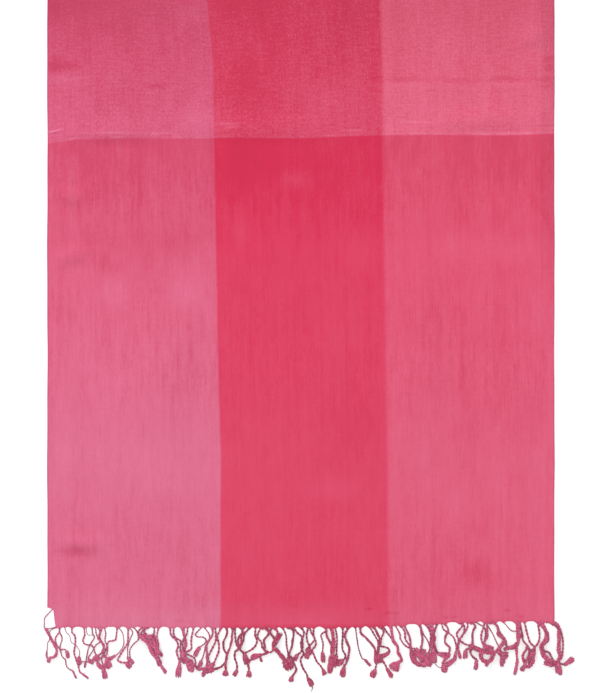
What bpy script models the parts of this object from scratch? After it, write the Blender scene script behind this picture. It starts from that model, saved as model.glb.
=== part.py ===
"""A woven stole laid flat: one length of cloth with a knotted, twisted fringe along each end.

The stole lies on the plane Z = 0. X runs across the cloth, Y along it, and the origin is the middle
of its underside. The near end is at -Y. Units are metres.
"""

import math
import random
from typing import NamedTuple

import bmesh
import bpy
import numpy

# Driving dimensions
CLOTH_WIDTH = 0.700
CLOTH_LENGTH = 2.030
WALL = 0.0015
SEAM_GAP = 0.0003

# The near hem runs a little up to the right; the far hem is the same line turned half round.
HEM_RISE = 0.009
HEM_RISE_FROM = -0.10
HEM_RISE_TO = 0.23

# The near left corner, where the selvedge has drawn up and left the cloth narrower
NOTCH_DEPTH = 0.026
NOTCH_WIDTH = 0.008
NOTCH_SLANT = 0.003
NOTCH_STEP = 0.002

# Spacing of the cloth's sections away from any fold, and the least between two of them
SECTION_STEP = 0.110
COLUMN_STEP = 0.080
LEAST_STEP = 0.012

# The header: the narrow strip at each hem that the strands grow from
HEADER_DEPTH = 0.003

# Fringe strands. A size across is the radius of the three-sided section's corners.
STRAND_RADIUS = 0.0015
ROOT_RADIUS = 0.0005
ROOT_HEIGHT = 0.00065
KNOT_RADIUS = 0.0029
TIP_RADIUS = 0.0021
FLOOR_GAP = 0.0003
STRAND_GAP = 0.0010
STAGGER = 0.012
FRINGE_SEED = 11

# The ends: a knot, then the loose tail below it
TAIL_LENGTH = 0.0085
KNOT_LENGTH = 0.0042

# Neighbours are kept apart where they pass each row, counted down from the header.
ROOT_DEPTH = 0.006
ROW_STEP = 0.017
ROW_COUNT = 6
SPREADING_PASSES = 80

# A strand leans with its neighbours in long waves along the hem, and a little on its own.
SHARED_SWAY = 0.0036
SHARED_SWAY_LENGTH = 0.058
SHARED_SWAY_ALONG_HEM = 0.150
OWN_SWAY = 0.0014
OWN_SWAY_LENGTH = 0.040
NECK_PITCH = 0.0040
TIP_PITCH = 0.0060

CLOTH_COLOUR = (0.74, 0.10, 0.19)
FRINGE_COLOUR = (0.60, 0.075, 0.17)
CLOTH_ROUGHNESS = 0.72
FRINGE_ROUGHNESS = 0.85


class Fold(NamedTuple):
    """A soft ridge where the cloth lifts off the surface: its middle, its turn from the X axis in
    degrees, its length and width between its feet, and its height."""

    x: float
    y: float
    turn: float
    length: float
    width: float
    height: float


FOLDS = (
    # The crease that runs across where the two bands of weft meet, in three unequal stretches
    Fold(-0.265, -0.335, 2, 0.170, 0.046, 0.0046),
    Fold(-0.045, -0.330, -1, 0.330, 0.050, 0.0032),
    Fold(0.250, -0.318, 1, 0.220, 0.044, 0.0040),
    # Short puckers along the left selvedge and in the near left corner
    Fold(-0.318, -0.424, -4, 0.064, 0.034, 0.0038),
    Fold(-0.316, -0.505, 3, 0.076, 0.040, 0.0042),
    Fold(-0.300, -0.902, -6, 0.096, 0.042, 0.0044),
    Fold(0.318, -0.205, 5, 0.066, 0.038, 0.0036),
    # Long low swells along the cloth
    Fold(-0.205, -0.700, 88, 0.400, 0.150, 0.0052),
    Fold(0.150, -0.640, 93, 0.460, 0.140, 0.0050),
    Fold(0.030, -0.180, 86, 0.280, 0.150, 0.0046),
    # The part that lies beyond the picture: a few more like them
    Fold(-0.180, 0.150, 91, 0.380, 0.150, 0.0050),
    Fold(0.200, 0.240, 87, 0.360, 0.140, 0.0046),
    Fold(-0.070, 0.342, 1, 0.400, 0.050, 0.0040),
    Fold(0.265, 0.352, -2, 0.160, 0.046, 0.0034),
    Fold(-0.030, 0.690, 92, 0.420, 0.150, 0.0052),
    Fold(0.314, 0.600, 4, 0.072, 0.040, 0.0040),
    Fold(-0.310, 0.780, -3, 0.080, 0.042, 0.0040),
)


class Gather(NamedTuple):
    """Neighbouring strands that draw together: how many, how far the neck lies sideways from their
    roots and below the hem, and how far their tips then go sideways and down. Lengths in mm."""

    strands: int
    lean: float
    neck: float
    drift: float
    tail: float


GATHERS = (
    Gather(2, -9, 25, -5, 19),
    Gather(2, -6, 29, 1, 32),
    Gather(2, -5, 36, 5, 24),
    Gather(5, -1, 36, 0, 22),
    Gather(3, -5, 34, 2, 19),
    Gather(3, -5, 36, 0, 18),
    Gather(4, 0, 24, 8, 34),
    Gather(4, 8, 35, 0, 25),
    Gather(2, 8, 26, 1, 24),
    Gather(4, 7, 37, -1, 22),
    Gather(2, 7, 33, 0, 24),
    Gather(2, 6, 35, 0, 24),
    Gather(3, 5, 33, 2, 27),
    Gather(2, 4, 25, 3, 20),
    Gather(2, 3, 22, 4, 22),
    Gather(4, 10, 33, 2, 32),
    Gather(2, 7, 25, 1, 22),
    Gather(4, 2, 26, 3, 50),
    Gather(2, 0, 24, 1, 24),
    Gather(5, -6, 34, 1, 26),
    Gather(2, 3, 27, 3, 22),
    Gather(5, 1, 36, 1, 26),
    Gather(3, -2, 37, -1, 24),
    Gather(3, 3, 35, 1, 20),
    Gather(4, 1, 34, 0, 19),
    Gather(3, -1, 38, 1, 21),
    Gather(2, 1, 24, 2, 22),
    Gather(3, 2, 32, 2, 24),
    Gather(4, -1, 32, 0, 20),
    Gather(2, -1, 26, 0, 25),
    Gather(2, 0, 36, 0, 24),
    Gather(3, 0, 33, -1, 24),
    Gather(2, 4, 32, 3, 20),
    Gather(2, 8, 35, 10, 20),
)

# Spacing of the strands' roots along the header
ROOT_PITCH = (CLOTH_WIDTH - NOTCH_WIDTH - NOTCH_SLANT) / sum(gather.strands for gather in GATHERS)


class Strand(NamedTuple):
    """One strand: X of its root, its gather, its position there such as -1, 0 and 1 for three, the
    phase of its own sway, and how far its tip lies below the header."""

    root_x: float
    gather: Gather
    place: float
    phase: float
    reach: float


def clear_scene():
    """Removes whatever the scene starts with."""
    for obj in list(bpy.data.objects):
        bpy.data.objects.remove(obj, do_unlink=True)


def new_collection(name, hidden=False):
    collection = bpy.data.collections.new(name)
    collection.hide_render = hidden
    bpy.context.scene.collection.children.link(collection)
    return collection


def yarn_material(name, colour, roughness):
    """A plain dyed yarn finish."""
    material = bpy.data.materials.new(name)
    material.use_nodes = True
    shader = material.node_tree.nodes["Principled BSDF"]
    shader.inputs["Base Color"].default_value = (*colour, 1.0)
    shader.inputs["Roughness"].default_value = roughness
    shader.inputs["Metallic"].default_value = 0.0
    return material


def smooth(share):
    """0 before 0, 1 after 1, and an even S between them."""
    share = min(1.0, max(0.0, share))
    return share * share * (3 - 2 * share)


def hem(x):
    """Y of the near hem at x."""
    rise = HEM_RISE * smooth((x - HEM_RISE_FROM) / (HEM_RISE_TO - HEM_RISE_FROM))
    return rise - CLOTH_LENGTH / 2


def far_hem(x):
    """Y of the far hem at x: the near hem turned half round."""
    return -hem(-x)


def left_edge(y):
    """X of the left selvedge at y, stepped in where the near corner is notched."""
    edge = -CLOTH_WIDTH / 2
    above_hem = y + CLOTH_LENGTH / 2
    if above_hem >= NOTCH_DEPTH:
        return edge
    step = NOTCH_WIDTH * min(1.0, (NOTCH_DEPTH - above_hem) / NOTCH_STEP)
    return edge + step + NOTCH_SLANT * (1 - above_hem / NOTCH_DEPTH)


def crest(share):
    """Cross-section of a fold: 1 at its middle and 0 from its feet outwards."""
    return math.cos(share * math.pi / 2) ** 2 if abs(share) < 1 else 0.0


def fold_height(x, y):
    """How far the folds lift the cloth's underside off the surface at (x, y)."""
    height = 0.0
    for fold in FOLDS:
        turn = math.radians(fold.turn)
        dx, dy = x - fold.x, y - fold.y
        along = dx * math.cos(turn) + dy * math.sin(turn)
        across = dy * math.cos(turn) - dx * math.sin(turn)
        lift = fold.height * crest(2 * along / fold.length) * crest(2 * across / fold.width)
        height = max(height, lift)
    return height


def stations(low, high, step, extra):
    """Section places from low to high: even steps, and the extra places, none closer than LEAST_STEP."""
    count = round((high - low) / step)
    even = [low + (high - low) * i / count for i in range(count + 1)]
    kept = [low, high]
    for place in [*extra, *even]:
        if low < place < high and all(abs(place - other) >= LEAST_STEP for other in kept):
            kept.append(place)
    return sorted(kept)


def fold_places(folds, middle):
    """The crest, flanks and feet of these folds, along the axis that middle reads."""
    return [
        middle(fold) + share * fold.width / 2
        for share in (0, -0.9, 0.9)
        for fold in folds
    ]


def cloth_rows():
    """Y of the cloth's crosswise sections: at its crosswise folds, its notch, and evenly between."""
    half = CLOTH_LENGTH / 2
    crosswise = [fold for fold in FOLDS if abs(fold.turn) < 45]
    places = stations(-half, half, SECTION_STEP, fold_places(crosswise, lambda fold: fold.y))
    notch = [NOTCH_DEPTH - half, NOTCH_DEPTH - NOTCH_STEP - half]
    return sorted({*(place for place in places if abs(place - notch[0]) > LEAST_STEP), *notch})


def cloth_columns():
    """X of the cloth's lengthwise sections where it is at its full width."""
    half = CLOTH_WIDTH / 2
    lengthwise = [fold for fold in FOLDS if abs(fold.turn) >= 45]
    return stations(-half, half, COLUMN_STEP, fold_places(lengthwise, lambda fold: fold.x))


def column_x(column, y):
    """X at y of the section that stands at this column, drawn in with the left selvedge."""
    across = (column + CLOTH_WIDTH / 2) / CLOTH_WIDTH
    return left_edge(y) * (1 - across) + CLOTH_WIDTH / 2 * across


def make_cloth(material):
    """The woven cloth: a grid of sections laid between the hems and selvedges, lifted into the folds.
    The grid is the underside, and its wall rises from it, so what isn't in a fold rests flat."""
    rows, columns = cloth_rows(), cloth_columns()
    sheet = bmesh.new()
    bmesh.ops.create_grid(sheet, x_segments=len(columns) - 1, y_segments=len(rows) - 1, size=1.0)
    by_place = sorted(sheet.verts, key=lambda vert: (round(vert.co.y, 6), round(vert.co.x, 6)))
    for index, vert in enumerate(by_place):
        row, column = rows[index // len(columns)], columns[index % len(columns)]
        x = column_x(column, row)
        along = (row + CLOTH_LENGTH / 2) / CLOTH_LENGTH
        y = hem(x) * (1 - along) + far_hem(x) * along
        vert.co = (x, y, fold_height(x, y))
    mesh = bpy.data.meshes.new("cloth")
    sheet.to_mesh(mesh)
    sheet.free()

    cloth = bpy.data.objects.new("cloth", mesh)
    wall = cloth.modifiers.new("wall", "SOLIDIFY")
    wall.thickness = WALL
    wall.offset = 1.0
    mesh.materials.append(material)
    mesh.shade_smooth()
    return cloth


def header_curve():
    """The near header: a flat strip along the hem, clear of the cloth by the seam gap. Its line turns
    only where the cloth's own does, at the sections along the hem's rise."""
    places = [column_x(column, -CLOTH_LENGTH / 2) for column in cloth_columns()]
    before = max(x for x in places if x <= HEM_RISE_FROM)
    after = min(x for x in places if x >= HEM_RISE_TO)
    across = [places[0], *(x for x in places if before <= x <= after), places[-1]]
    upper = [(x, hem(x) - SEAM_GAP) for x in across]
    lower = [(x, hem(x) - SEAM_GAP - HEADER_DEPTH) for x in reversed(across)]
    curve = bpy.data.curves.new("header", "CURVE")
    curve.dimensions = "2D"
    curve.fill_mode = "BOTH"
    curve.extrude = WALL / 2
    outline = curve.splines.new("POLY")
    outline.points.add(len(upper) + len(lower) - 1)
    for point, (x, y) in zip(outline.points, upper + lower):
        point.co = (x, y, 0.0, 1.0)
    outline.use_cyclic_u = True
    return curve


def strands_of_end(seed):
    """Every strand of one end, evenly rooted along the header from its left end."""
    rng = random.Random(seed)
    left = left_edge(-CLOTH_LENGTH / 2)
    strands = []
    for gather in GATHERS:
        for k in range(gather.strands):
            root_x = left + ROOT_PITCH * (len(strands) + 0.5)
            # Every other strand ends higher, so that its knot lies beside the next one's thin cord.
            higher = STAGGER if len(strands) % 2 else 0.0
            reach = (gather.neck + gather.tail) / 1000 - higher + rng.uniform(-0.002, 0.003)
            phase = rng.uniform(0, 2 * math.pi)
            strands.append(Strand(root_x, gather, k - (gather.strands - 1) / 2, phase, reach))
    return strands


def wanted_x(strand, depth):
    """Where a strand would lie at this depth: on an S from its root to its gather's neck, straight on
    from there to its tip, and bent sideways by its neighbours' sway and its own."""
    gather, neck = strand.gather, strand.gather.neck / 1000
    tip_depth = neck + gather.tail / 1000
    lean = (gather.lean + gather.drift * max(0.0, (depth - neck) / (tip_depth - neck))) / 1000
    pitch = NECK_PITCH + (TIP_PITCH - NECK_PITCH) * smooth((depth - neck) / (tip_depth - neck))
    gathered = smooth(depth / neck)
    middle = strand.root_x - strand.place * ROOT_PITCH
    shared = depth / SHARED_SWAY_LENGTH + middle / SHARED_SWAY_ALONG_HEM
    sway = SHARED_SWAY * math.sin(2 * math.pi * shared)
    sway += OWN_SWAY * math.sin(2 * math.pi * depth / OWN_SWAY_LENGTH + strand.phase)
    offset = strand.place * (ROOT_PITCH + (pitch - ROOT_PITCH) * gathered)
    return middle + offset + lean * gathered + sway * smooth(depth / ROW_STEP)


def girth(strand, depth):
    """The widest radius of a strand within one row of this depth, and none past its tip."""
    from_tip = strand.reach - depth
    if from_tip < -ROW_STEP:
        return 0.0
    return KNOT_RADIUS if from_tip < TAIL_LENGTH + KNOT_LENGTH + ROW_STEP else STRAND_RADIUS


def spread(strands, depth):
    """X of each strand at this depth, with neighbours pushed evenly apart until they are clear."""
    places = [wanted_x(strand, depth) for strand in strands]
    girths = [girth(strand, depth) for strand in strands]
    for _ in range(SPREADING_PASSES):
        for k in range(1, len(places)):
            short = girths[k - 1] + girths[k] + STRAND_GAP - (places[k] - places[k - 1])
            if short > 0:
                places[k - 1] -= short / 2
                places[k] += short / 2
    return places


def strand_points(strand, depths, places):
    """Points of one strand, as (x, y, z, radius), from inside the header to its tip."""
    start = hem(strand.root_x) - SEAM_GAP
    points = [(strand.root_x, start - HEADER_DEPTH / 2, ROOT_HEIGHT, ROOT_RADIUS)]
    knot = strand.reach - TAIL_LENGTH
    stations = [(depth, STRAND_RADIUS) for depth in depths if depth < knot - 2 * KNOT_LENGTH]
    stations += [(knot - KNOT_LENGTH, STRAND_RADIUS), (knot, KNOT_RADIUS), (strand.reach, TIP_RADIUS)]
    for depth, radius in stations:
        x = float(numpy.interp(depth, depths, places))
        points.append((x, start - HEADER_DEPTH - depth, FLOOR_GAP + radius / 2, radius))
    return points


def strand_profile(helpers):
    """The three-sided section of a strand, of radius 1 to its corners, with a corner up."""
    curve = bpy.data.curves.new("strand_profile", "CURVE")
    spline = curve.splines.new("POLY")
    spline.points.add(2)
    for corner, point in enumerate(spline.points):
        angle = math.radians(90 + 120 * corner)
        point.co = (math.cos(angle), math.sin(angle), 0.0, 1.0)
    spline.use_cyclic_u = True
    profile = bpy.data.objects.new("strand_profile", curve)
    profile.hide_render = True
    helpers.objects.link(profile)
    return profile


def strands_curve(profile, seed):
    """Every strand of one end, each a line of straight pieces in one curve, swept by the profile."""
    curve = bpy.data.curves.new("strands", "CURVE")
    curve.dimensions = "3D"
    curve.twist_mode = "Z_UP"
    curve.bevel_mode = "OBJECT"
    curve.bevel_object = profile
    curve.use_fill_caps = True
    strands = strands_of_end(seed)
    depths = [ROOT_DEPTH + ROW_STEP * row for row in range(ROW_COUNT)]
    rows = [spread(strands, depth) for depth in depths]
    for strand, places in zip(strands, zip(*rows)):
        points = strand_points(strand, depths, places)
        spline = curve.splines.new("POLY")
        spline.points.add(len(points) - 1)
        for point, (x, y, z, radius) in zip(spline.points, points):
            point.co = (x, y, z, 1.0)
            point.radius = radius
    return curve


def as_mesh_object(name, curve, collection, height=0.0):
    """The solid of a curve as a mesh object, with its caps welded to its sides."""
    guide = bpy.data.objects.new(name + "_curve", curve)
    guide.location.z = height
    collection.objects.link(guide)
    bpy.context.view_layer.update()
    graph = bpy.context.evaluated_depsgraph_get()
    mesh = bpy.data.meshes.new_from_object(guide.evaluated_get(graph))
    solid = bpy.data.objects.new(name, mesh)
    solid.matrix_world = guide.matrix_world
    collection.objects.link(solid)
    bpy.data.objects.remove(guide)
    welded = bmesh.new()
    welded.from_mesh(mesh)
    bmesh.ops.remove_doubles(welded, verts=welded.verts, dist=0.00001)
    bmesh.ops.recalc_face_normals(welded, faces=welded.faces)
    welded.to_mesh(mesh)
    welded.free()
    return solid


def make_fringe(name, turn, seed, material, helpers):
    """One end's fringe: the header with its strands fused in, turned about Z to its own end."""
    profile = bpy.data.objects.get("strand_profile") or strand_profile(helpers)
    strands = as_mesh_object(name + "_strands", strands_curve(profile, seed), helpers)
    strands.hide_render = True
    strands.display_type = "WIRE"
    fringe = as_mesh_object(name, header_curve(), helpers, height=WALL / 2)
    helpers.objects.unlink(fringe)
    union = fringe.modifiers.new("strands", "BOOLEAN")
    union.operation = "UNION"
    union.object = strands
    for obj in (fringe, strands):
        obj.rotation_euler.z = turn
    fringe.data.materials.clear()
    fringe.data.materials.append(material)
    return fringe


def main():
    clear_scene()
    stole = new_collection("stole")
    helpers = new_collection("helpers", hidden=True)
    cloth_yarn = yarn_material("cloth_yarn", CLOTH_COLOUR, CLOTH_ROUGHNESS)
    fringe_yarn = yarn_material("fringe_yarn", FRINGE_COLOUR, FRINGE_ROUGHNESS)
    stole.objects.link(make_cloth(cloth_yarn))
    stole.objects.link(make_fringe("fringe_near", 0.0, FRINGE_SEED, fringe_yarn, helpers))
    stole.objects.link(make_fringe("fringe_far", math.pi, FRINGE_SEED + 1, fringe_yarn, helpers))


main()
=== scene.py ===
"""A woven stole with a knotted fringe, laid flat on a white surface and seen from straight above.

The cloth is a thin shell worked out on a grid, with its folds and creases listed one by one. Each end
has a hem strip with a scalloped edge, twisted cords that lie over one another, and fuzzy tassels.
Lengths are metres. A route that is read off the picture is in picture pixels, across and down.
"""

import math
from typing import NamedTuple

import bpy
import numpy as np
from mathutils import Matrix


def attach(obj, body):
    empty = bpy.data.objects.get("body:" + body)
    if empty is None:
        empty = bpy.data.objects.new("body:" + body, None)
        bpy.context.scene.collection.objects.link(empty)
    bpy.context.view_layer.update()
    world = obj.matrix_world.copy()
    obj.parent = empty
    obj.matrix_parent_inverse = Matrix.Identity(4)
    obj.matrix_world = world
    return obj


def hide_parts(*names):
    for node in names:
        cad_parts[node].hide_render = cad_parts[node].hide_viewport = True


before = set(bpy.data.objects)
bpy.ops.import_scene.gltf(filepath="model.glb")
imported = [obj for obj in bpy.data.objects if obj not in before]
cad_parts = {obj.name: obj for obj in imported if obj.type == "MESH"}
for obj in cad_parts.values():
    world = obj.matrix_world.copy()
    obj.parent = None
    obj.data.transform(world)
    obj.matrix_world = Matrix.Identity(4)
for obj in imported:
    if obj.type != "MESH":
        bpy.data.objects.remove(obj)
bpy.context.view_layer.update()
BODY = "root"

# The cloth's size, as in the frame
CLOTH_WIDTH = 0.700
CLOTH_LENGTH = 2.030
# The solid's wall, and the thinner shell that shows in its place
WALL = 0.0015
SHELL = 0.0011

# The picture: its size, the cloth's two edges and the lower edge of its hem, in pixels
PICTURE_WIDTH = 600
PICTURE_HEIGHT = 693
LEFT_EDGE_PIXEL = 47.3
RIGHT_EDGE_PIXEL = 554.4
HEM_PIXEL = 627.0
PIXEL = CLOTH_WIDTH / (RIGHT_EDGE_PIXEL - LEFT_EDGE_PIXEL)
CAMERA_HEIGHT = 2.6
CAMERA_REACH = 20.0
SENSOR = 36.0

# The hem's rise to the right, and the notch in the near left corner
HEM_RISE = 0.0076
HEM_RISE_FROM = 0.04
HEM_RISE_TO = 0.27
NOTCH_DEPTH = 0.0235
NOTCH_WIDTH = 0.008
NOTCH_SLANT = 0.003
NOTCH_STEP = 0.002
HEADER_DEPTH = 0.0033

# How far everything stays off the floor, and how high the cords pile up
FLOOR_CLEARANCE = 0.0003
PILE_LIMIT = 0.0085
# A cord's rings are this far apart and have so many points, and its plies go round once in so many of
# its widths, each standing out by this share.
RING_STEP = 0.00092
RING_SIDES = 8
PLY_PITCH = 3.4
PLY_LOBE = 0.20
# The fuzz that a cord has around the core whose thickness was read off the picture, as a factor
FUZZ = 1.06
# A cord thicker than this, in mm, is a bundle of thinner ones of about this radius, in metres, which go
# round once in so many of its widths
BUNDLE_THICKNESS = 3.3
BUNDLE_PLY = 0.0006
BUNDLE_PITCH = 9
# Each ply's share of the radius in a bundle of three, and how much of its height a bundle of three and a
# thicker one keep
PLY_SHARE = 0.55
ROUND_RISE = 0.8
FLAT_RISE = 0.45
# A cord that starts no lower than this many pixels below the hem is rooted in it
ROOT_REACH = 2
# The seeds of the fringe and of the soft areas beyond the picture's top
FRINGE_SEED = 7
HIDDEN_SEED = 31
# How far the far fringe's routes differ from the near one's, and how far below the hem they are free to,
# in pixels
FAR_CHANGE = 0.8
FREE_DEPTH = 40


def picture_x(pixel):
    """X of a column of the picture."""
    return (pixel - (LEFT_EDGE_PIXEL + RIGHT_EDGE_PIXEL) / 2) * PIXEL


def picture_y(pixel):
    """Y of a row of the picture, where the hem's row is the lower edge of the hem strip."""
    return -CLOTH_LENGTH / 2 - HEADER_DEPTH - (pixel - HEM_PIXEL) * PIXEL


def picture_row(y):
    """The picture's row at this Y, also beyond the picture's top."""
    return HEM_PIXEL - (y + CLOTH_LENGTH / 2 + HEADER_DEPTH) / PIXEL


def smooth(share):
    """0 before 0, 1 after 1, and an even S between them."""
    share = np.clip(share, 0.0, 1.0)
    return share * share * (3 - 2 * share)


def linear(red, green, blue):
    """A linear colour from a tone given in the usual 0 to 255 scale."""
    tone = np.array([red, green, blue]) / 255
    return (*np.where(tone > 0.04045, ((tone + 0.055) / 1.055) ** 2.4, tone / 12.92).tolist(), 1.0)


class Fold(NamedTuple):
    """A soft ridge: its middle, its turn from the X axis in degrees, its length and width between its
    feet, and its height, negative for a trough."""

    x: float
    y: float
    turn: float
    length: float
    width: float
    height: float


# The solid's own folds, which the shell keeps
FOLDS = tuple(Fold(*row) for row in (
    (-0.265, -0.335, 2, 0.170, 0.046, 0.0046),
    (-0.045, -0.330, -1, 0.330, 0.050, 0.0032),
    (0.250, -0.318, 1, 0.220, 0.044, 0.0040),
    (-0.318, -0.424, -4, 0.064, 0.034, 0.0038),
    (-0.316, -0.505, 3, 0.076, 0.040, 0.0042),
    (-0.300, -0.902, -6, 0.096, 0.042, 0.0044),
    (0.318, -0.205, 5, 0.066, 0.038, 0.0036),
    (-0.205, -0.700, 88, 0.400, 0.150, 0.0052),
    (0.150, -0.640, 93, 0.460, 0.140, 0.0050),
    (0.030, -0.180, 86, 0.280, 0.150, 0.0046),
    (-0.180, 0.150, 91, 0.380, 0.150, 0.0050),
    (0.200, 0.240, 87, 0.360, 0.140, 0.0046),
    (-0.070, 0.342, 1, 0.400, 0.050, 0.0040),
    (0.265, 0.352, -2, 0.160, 0.046, 0.0034),
    (-0.030, 0.690, 92, 0.420, 0.150, 0.0052),
    (0.314, 0.600, 4, 0.072, 0.040, 0.0040),
    (-0.310, 0.780, -3, 0.080, 0.042, 0.0040),
))


class Crease(NamedTuple):
    """A fine crease read off the picture: its middle in pixels, its turn in degrees, its length and
    width in pixels, and its height in mm, negative for a trough."""

    across: float
    down: float
    turn: float
    length: float
    width: float
    height: float


CREASES = tuple(Crease(*row) for row in (
    # The pressed line where the two bands of weft meet, and the small sharp fold at its left end
    (55, 131.8, 6, 26, 3.6, 1.3),
    (55, 134.4, 6, 24, 3.2, -0.4),
    (67, 135.2, -18, 13, 3.2, 0.5),
    (77, 138.0, -4, 28, 3.2, -0.35),
    (98, 127, -3, 60, 7, 0.2),
    (140, 135.8, -2.6, 90, 3.6, 0.28),
    (178, 131, -2, 60, 7, 0.2),
    (252, 137.4, -1, 96, 3.4, 0.24),
    (345, 135.6, 3, 110, 3.4, 0.30),
    (430, 134.0, 0, 80, 3.4, 0.10),
    (512, 133.2, 1, 70, 3.2, 0.14),
    (520, 131.2, 1, 60, 3.2, -0.12),
    (545, 121.6, 0, 30, 3.6, -0.5),
    (543, 124.6, 1, 36, 3.8, 1.0),
    # Faint marks across the upper band
    (140, 82, 1, 56, 6, 0.25),
    (440, 83, -1, 84, 6, 0.25),
    (300, 56, 0, 120, 7, 0.2),
    (500, 30, 2, 70, 7, 0.22),
    (84, 44, -2, 60, 7, 0.22),
    # Dents along the left selvedge
    (60, 205, 90, 160, 34, 1.0),
    (58, 155, 8, 22, 11, 0.6),
    (57, 170, 10, 24, 12, -0.9),
    (58, 190, 14, 26, 12, 0.7),
    (57, 204, 20, 24, 12, -1.0),
    (58, 222, 10, 26, 13, 0.6),
    (57, 238, 12, 26, 12, 0.9),
    (57, 252, 8, 24, 12, -1.1),
    (58, 266, 8, 26, 12, 0.7),
    (57, 330, 88, 60, 9, 0.35),
    # Puckers in the near left and near right of the last band
    (68, 553, -10, 36, 12, -1.5),
    (78, 543, -12, 50, 12, 1.0),
    (70, 566, -8, 34, 10, 0.35),
    (486, 582, -34, 54, 12, 0.5),
    (474, 570, -40, 44, 12, -0.3),
    (545, 470, 84, 90, 9, 0.35),
    (546, 330, 92, 70, 9, 0.3),
    # Long soft tension lines along the warp
    (110, 330, 91, 190, 9, 0.22),
    (176, 430, 89, 220, 10, 0.22),
    (262, 300, 90, 200, 9, 0.2),
    (336, 470, 91, 210, 10, 0.22),
    (424, 280, 89, 180, 9, 0.22),
    (508, 400, 90, 200, 10, 0.22),
    # The same kinds beyond the picture's top
    (120, -80, 2, 90, 8, 0.3),
    (420, -130, -2, 110, 8, 0.3),
    (56, -190, 84, 40, 9, 0.5),
    (300, -300, 1, 130, 7, 0.3),
    (130, -352, -1, 120, 7, 0.35),
    (260, -358, 1, 140, 7, 0.35),
    (470, -350, 2, 120, 7, 0.35),
    (545, -420, 92, 60, 9, 0.45),
    (90, -520, 12, 60, 11, 0.5),
    (330, -560, 90, 220, 10, 0.22),
    (200, -640, 89, 200, 10, 0.22),
    (450, -600, 91, 210, 10, 0.22),
    (520, -760, -28, 56, 10, 0.45),
))


class Area(NamedTuple):
    """A soft paler or deeper area of the cloth: its middle, its reach across and down, in pixels, and
    how pale it is, negative for deeper."""

    across: float
    down: float
    wide: float
    tall: float
    pale: float


AREAS = tuple(Area(*row) for row in (
    # The left band of warp, from the top down
    (76, 2, 44, 10, -0.040),
    (54, 12, 9, 11, -0.060),
    (112, 26, 24, 10, -0.025),
    (192, 14, 20, 14, 0.045),
    (58, 59, 11, 10, -0.040),
    (110, 100, 20, 14, -0.020),
    (196, 118, 18, 14, 0.030),
    (66, 150, 16, 8, -0.030),
    (150, 160, 30, 16, 0.020),
    (106, 244, 50, 16, -0.028),
    (184, 240, 26, 20, -0.028),
    (108, 266, 16, 9, -0.035),
    (112, 294, 18, 16, 0.036),
    (188, 292, 16, 18, 0.040),
    (66, 352, 14, 40, 0.014),
    (150, 468, 46, 34, 0.026),
    (62, 440, 12, 50, 0.018),
    # Painted shade in the trough of the pucker in the near left
    (72, 552, 17, 5, -0.050),
    # Painted shade and light of faint creases across the upper band, and painted highlights in short lines
    # just above the pressed line
    (506, 79.2, 18, 2.4, -0.060),
    (506, 84.4, 20, 3.0, 0.030),
    (402, 79.6, 26, 2.4, -0.045),
    (410, 85.0, 30, 3.4, 0.025),
    (458, 80.4, 20, 2.4, -0.045),
    (156, 85.8, 8, 2.2, -0.070),
    (112, 133.0, 20, 1.3, 0.080),
    (160, 133.2, 16, 1.3, 0.060),
    (226, 123.8, 9, 1.2, 0.090),
    (230, 127.4, 8, 1.2, 0.070),
    (352, 130.6, 12, 1.2, 0.070),
    (416, 121.8, 18, 1.2, 0.060),
    (508, 133.6, 18, 1.3, 0.070),
    # Painted shade and light of dents along both selvedges of the upper band
    (58, 54, 15, 5, 0.030),
    (60, 67, 15, 5, -0.060),
    (62, 79, 18, 5, 0.040),
    (549, 58.6, 6, 2.8, -0.070),
    (548, 66.8, 6, 2.6, -0.070),
    (546, 79.2, 9, 2.4, -0.055),
    (545, 86.2, 10, 2.2, -0.045),
    # Dark specks of yarn along the hem
    (179, 621.0, 3.4, 1.2, -0.048),
    (189, 621.8, 3.0, 1.2, -0.036),
    (369, 609.0, 3.0, 1.3, -0.058),
    (388, 613.0, 3.4, 1.2, -0.058),
    (396, 613.6, 2.8, 1.2, -0.052),
    (447, 617.4, 3.2, 1.2, -0.048),
    (456, 616.8, 3.0, 1.2, -0.048),
    (507, 610.0, 3.4, 1.4, -0.066),
    (522, 616.6, 3.4, 1.2, -0.058),
    # The middle band
    (238, 4, 20, 12, -0.030),
    (244, 84, 18, 26, -0.032),
    (258, 104, 8, 20, -0.022),
    (242, 164, 18, 24, -0.030),
    (344, 96, 26, 30, 0.020),
    (295, 180, 16, 9, 0.036),
    (241, 226, 7, 22, 0.034),
    (362, 250, 24, 22, 0.020),
    (362, 410, 26, 54, -0.018),
    (334, 490, 24, 12, 0.024),
    # The right band
    (452, 40, 22, 18, 0.016),
    (536, 34, 14, 24, 0.030),
    (512, 166, 30, 20, -0.022),
    (455, 244, 14, 14, 0.030),
    (512, 250, 36, 14, 0.030),
    (500, 350, 34, 60, -0.014),
    (540, 300, 10, 50, 0.022),
    (541, 500, 10, 70, 0.024),
    (458, 508, 12, 18, 0.026),
    # Painted shade in the pucker in the near right
    (474, 571, 12, 14, -0.046),
    # Along the hem, in the middle band
    (303, 622, 74, 12, 0.024),
))
# More are strewn beyond the picture's top: how many, and the least and the most of each measure
HIDDEN_AREAS = 60
HIDDEN_LEAST = Area(60, -830, 12, 10, -0.035)
HIDDEN_MOST = Area(540, -20, 46, 46, 0.035)


class YarnLine(NamedTuple):
    """Where the two bands of warp meet their neighbours at one row of the picture, in pixels."""

    down: float
    left: float
    right: float


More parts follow.
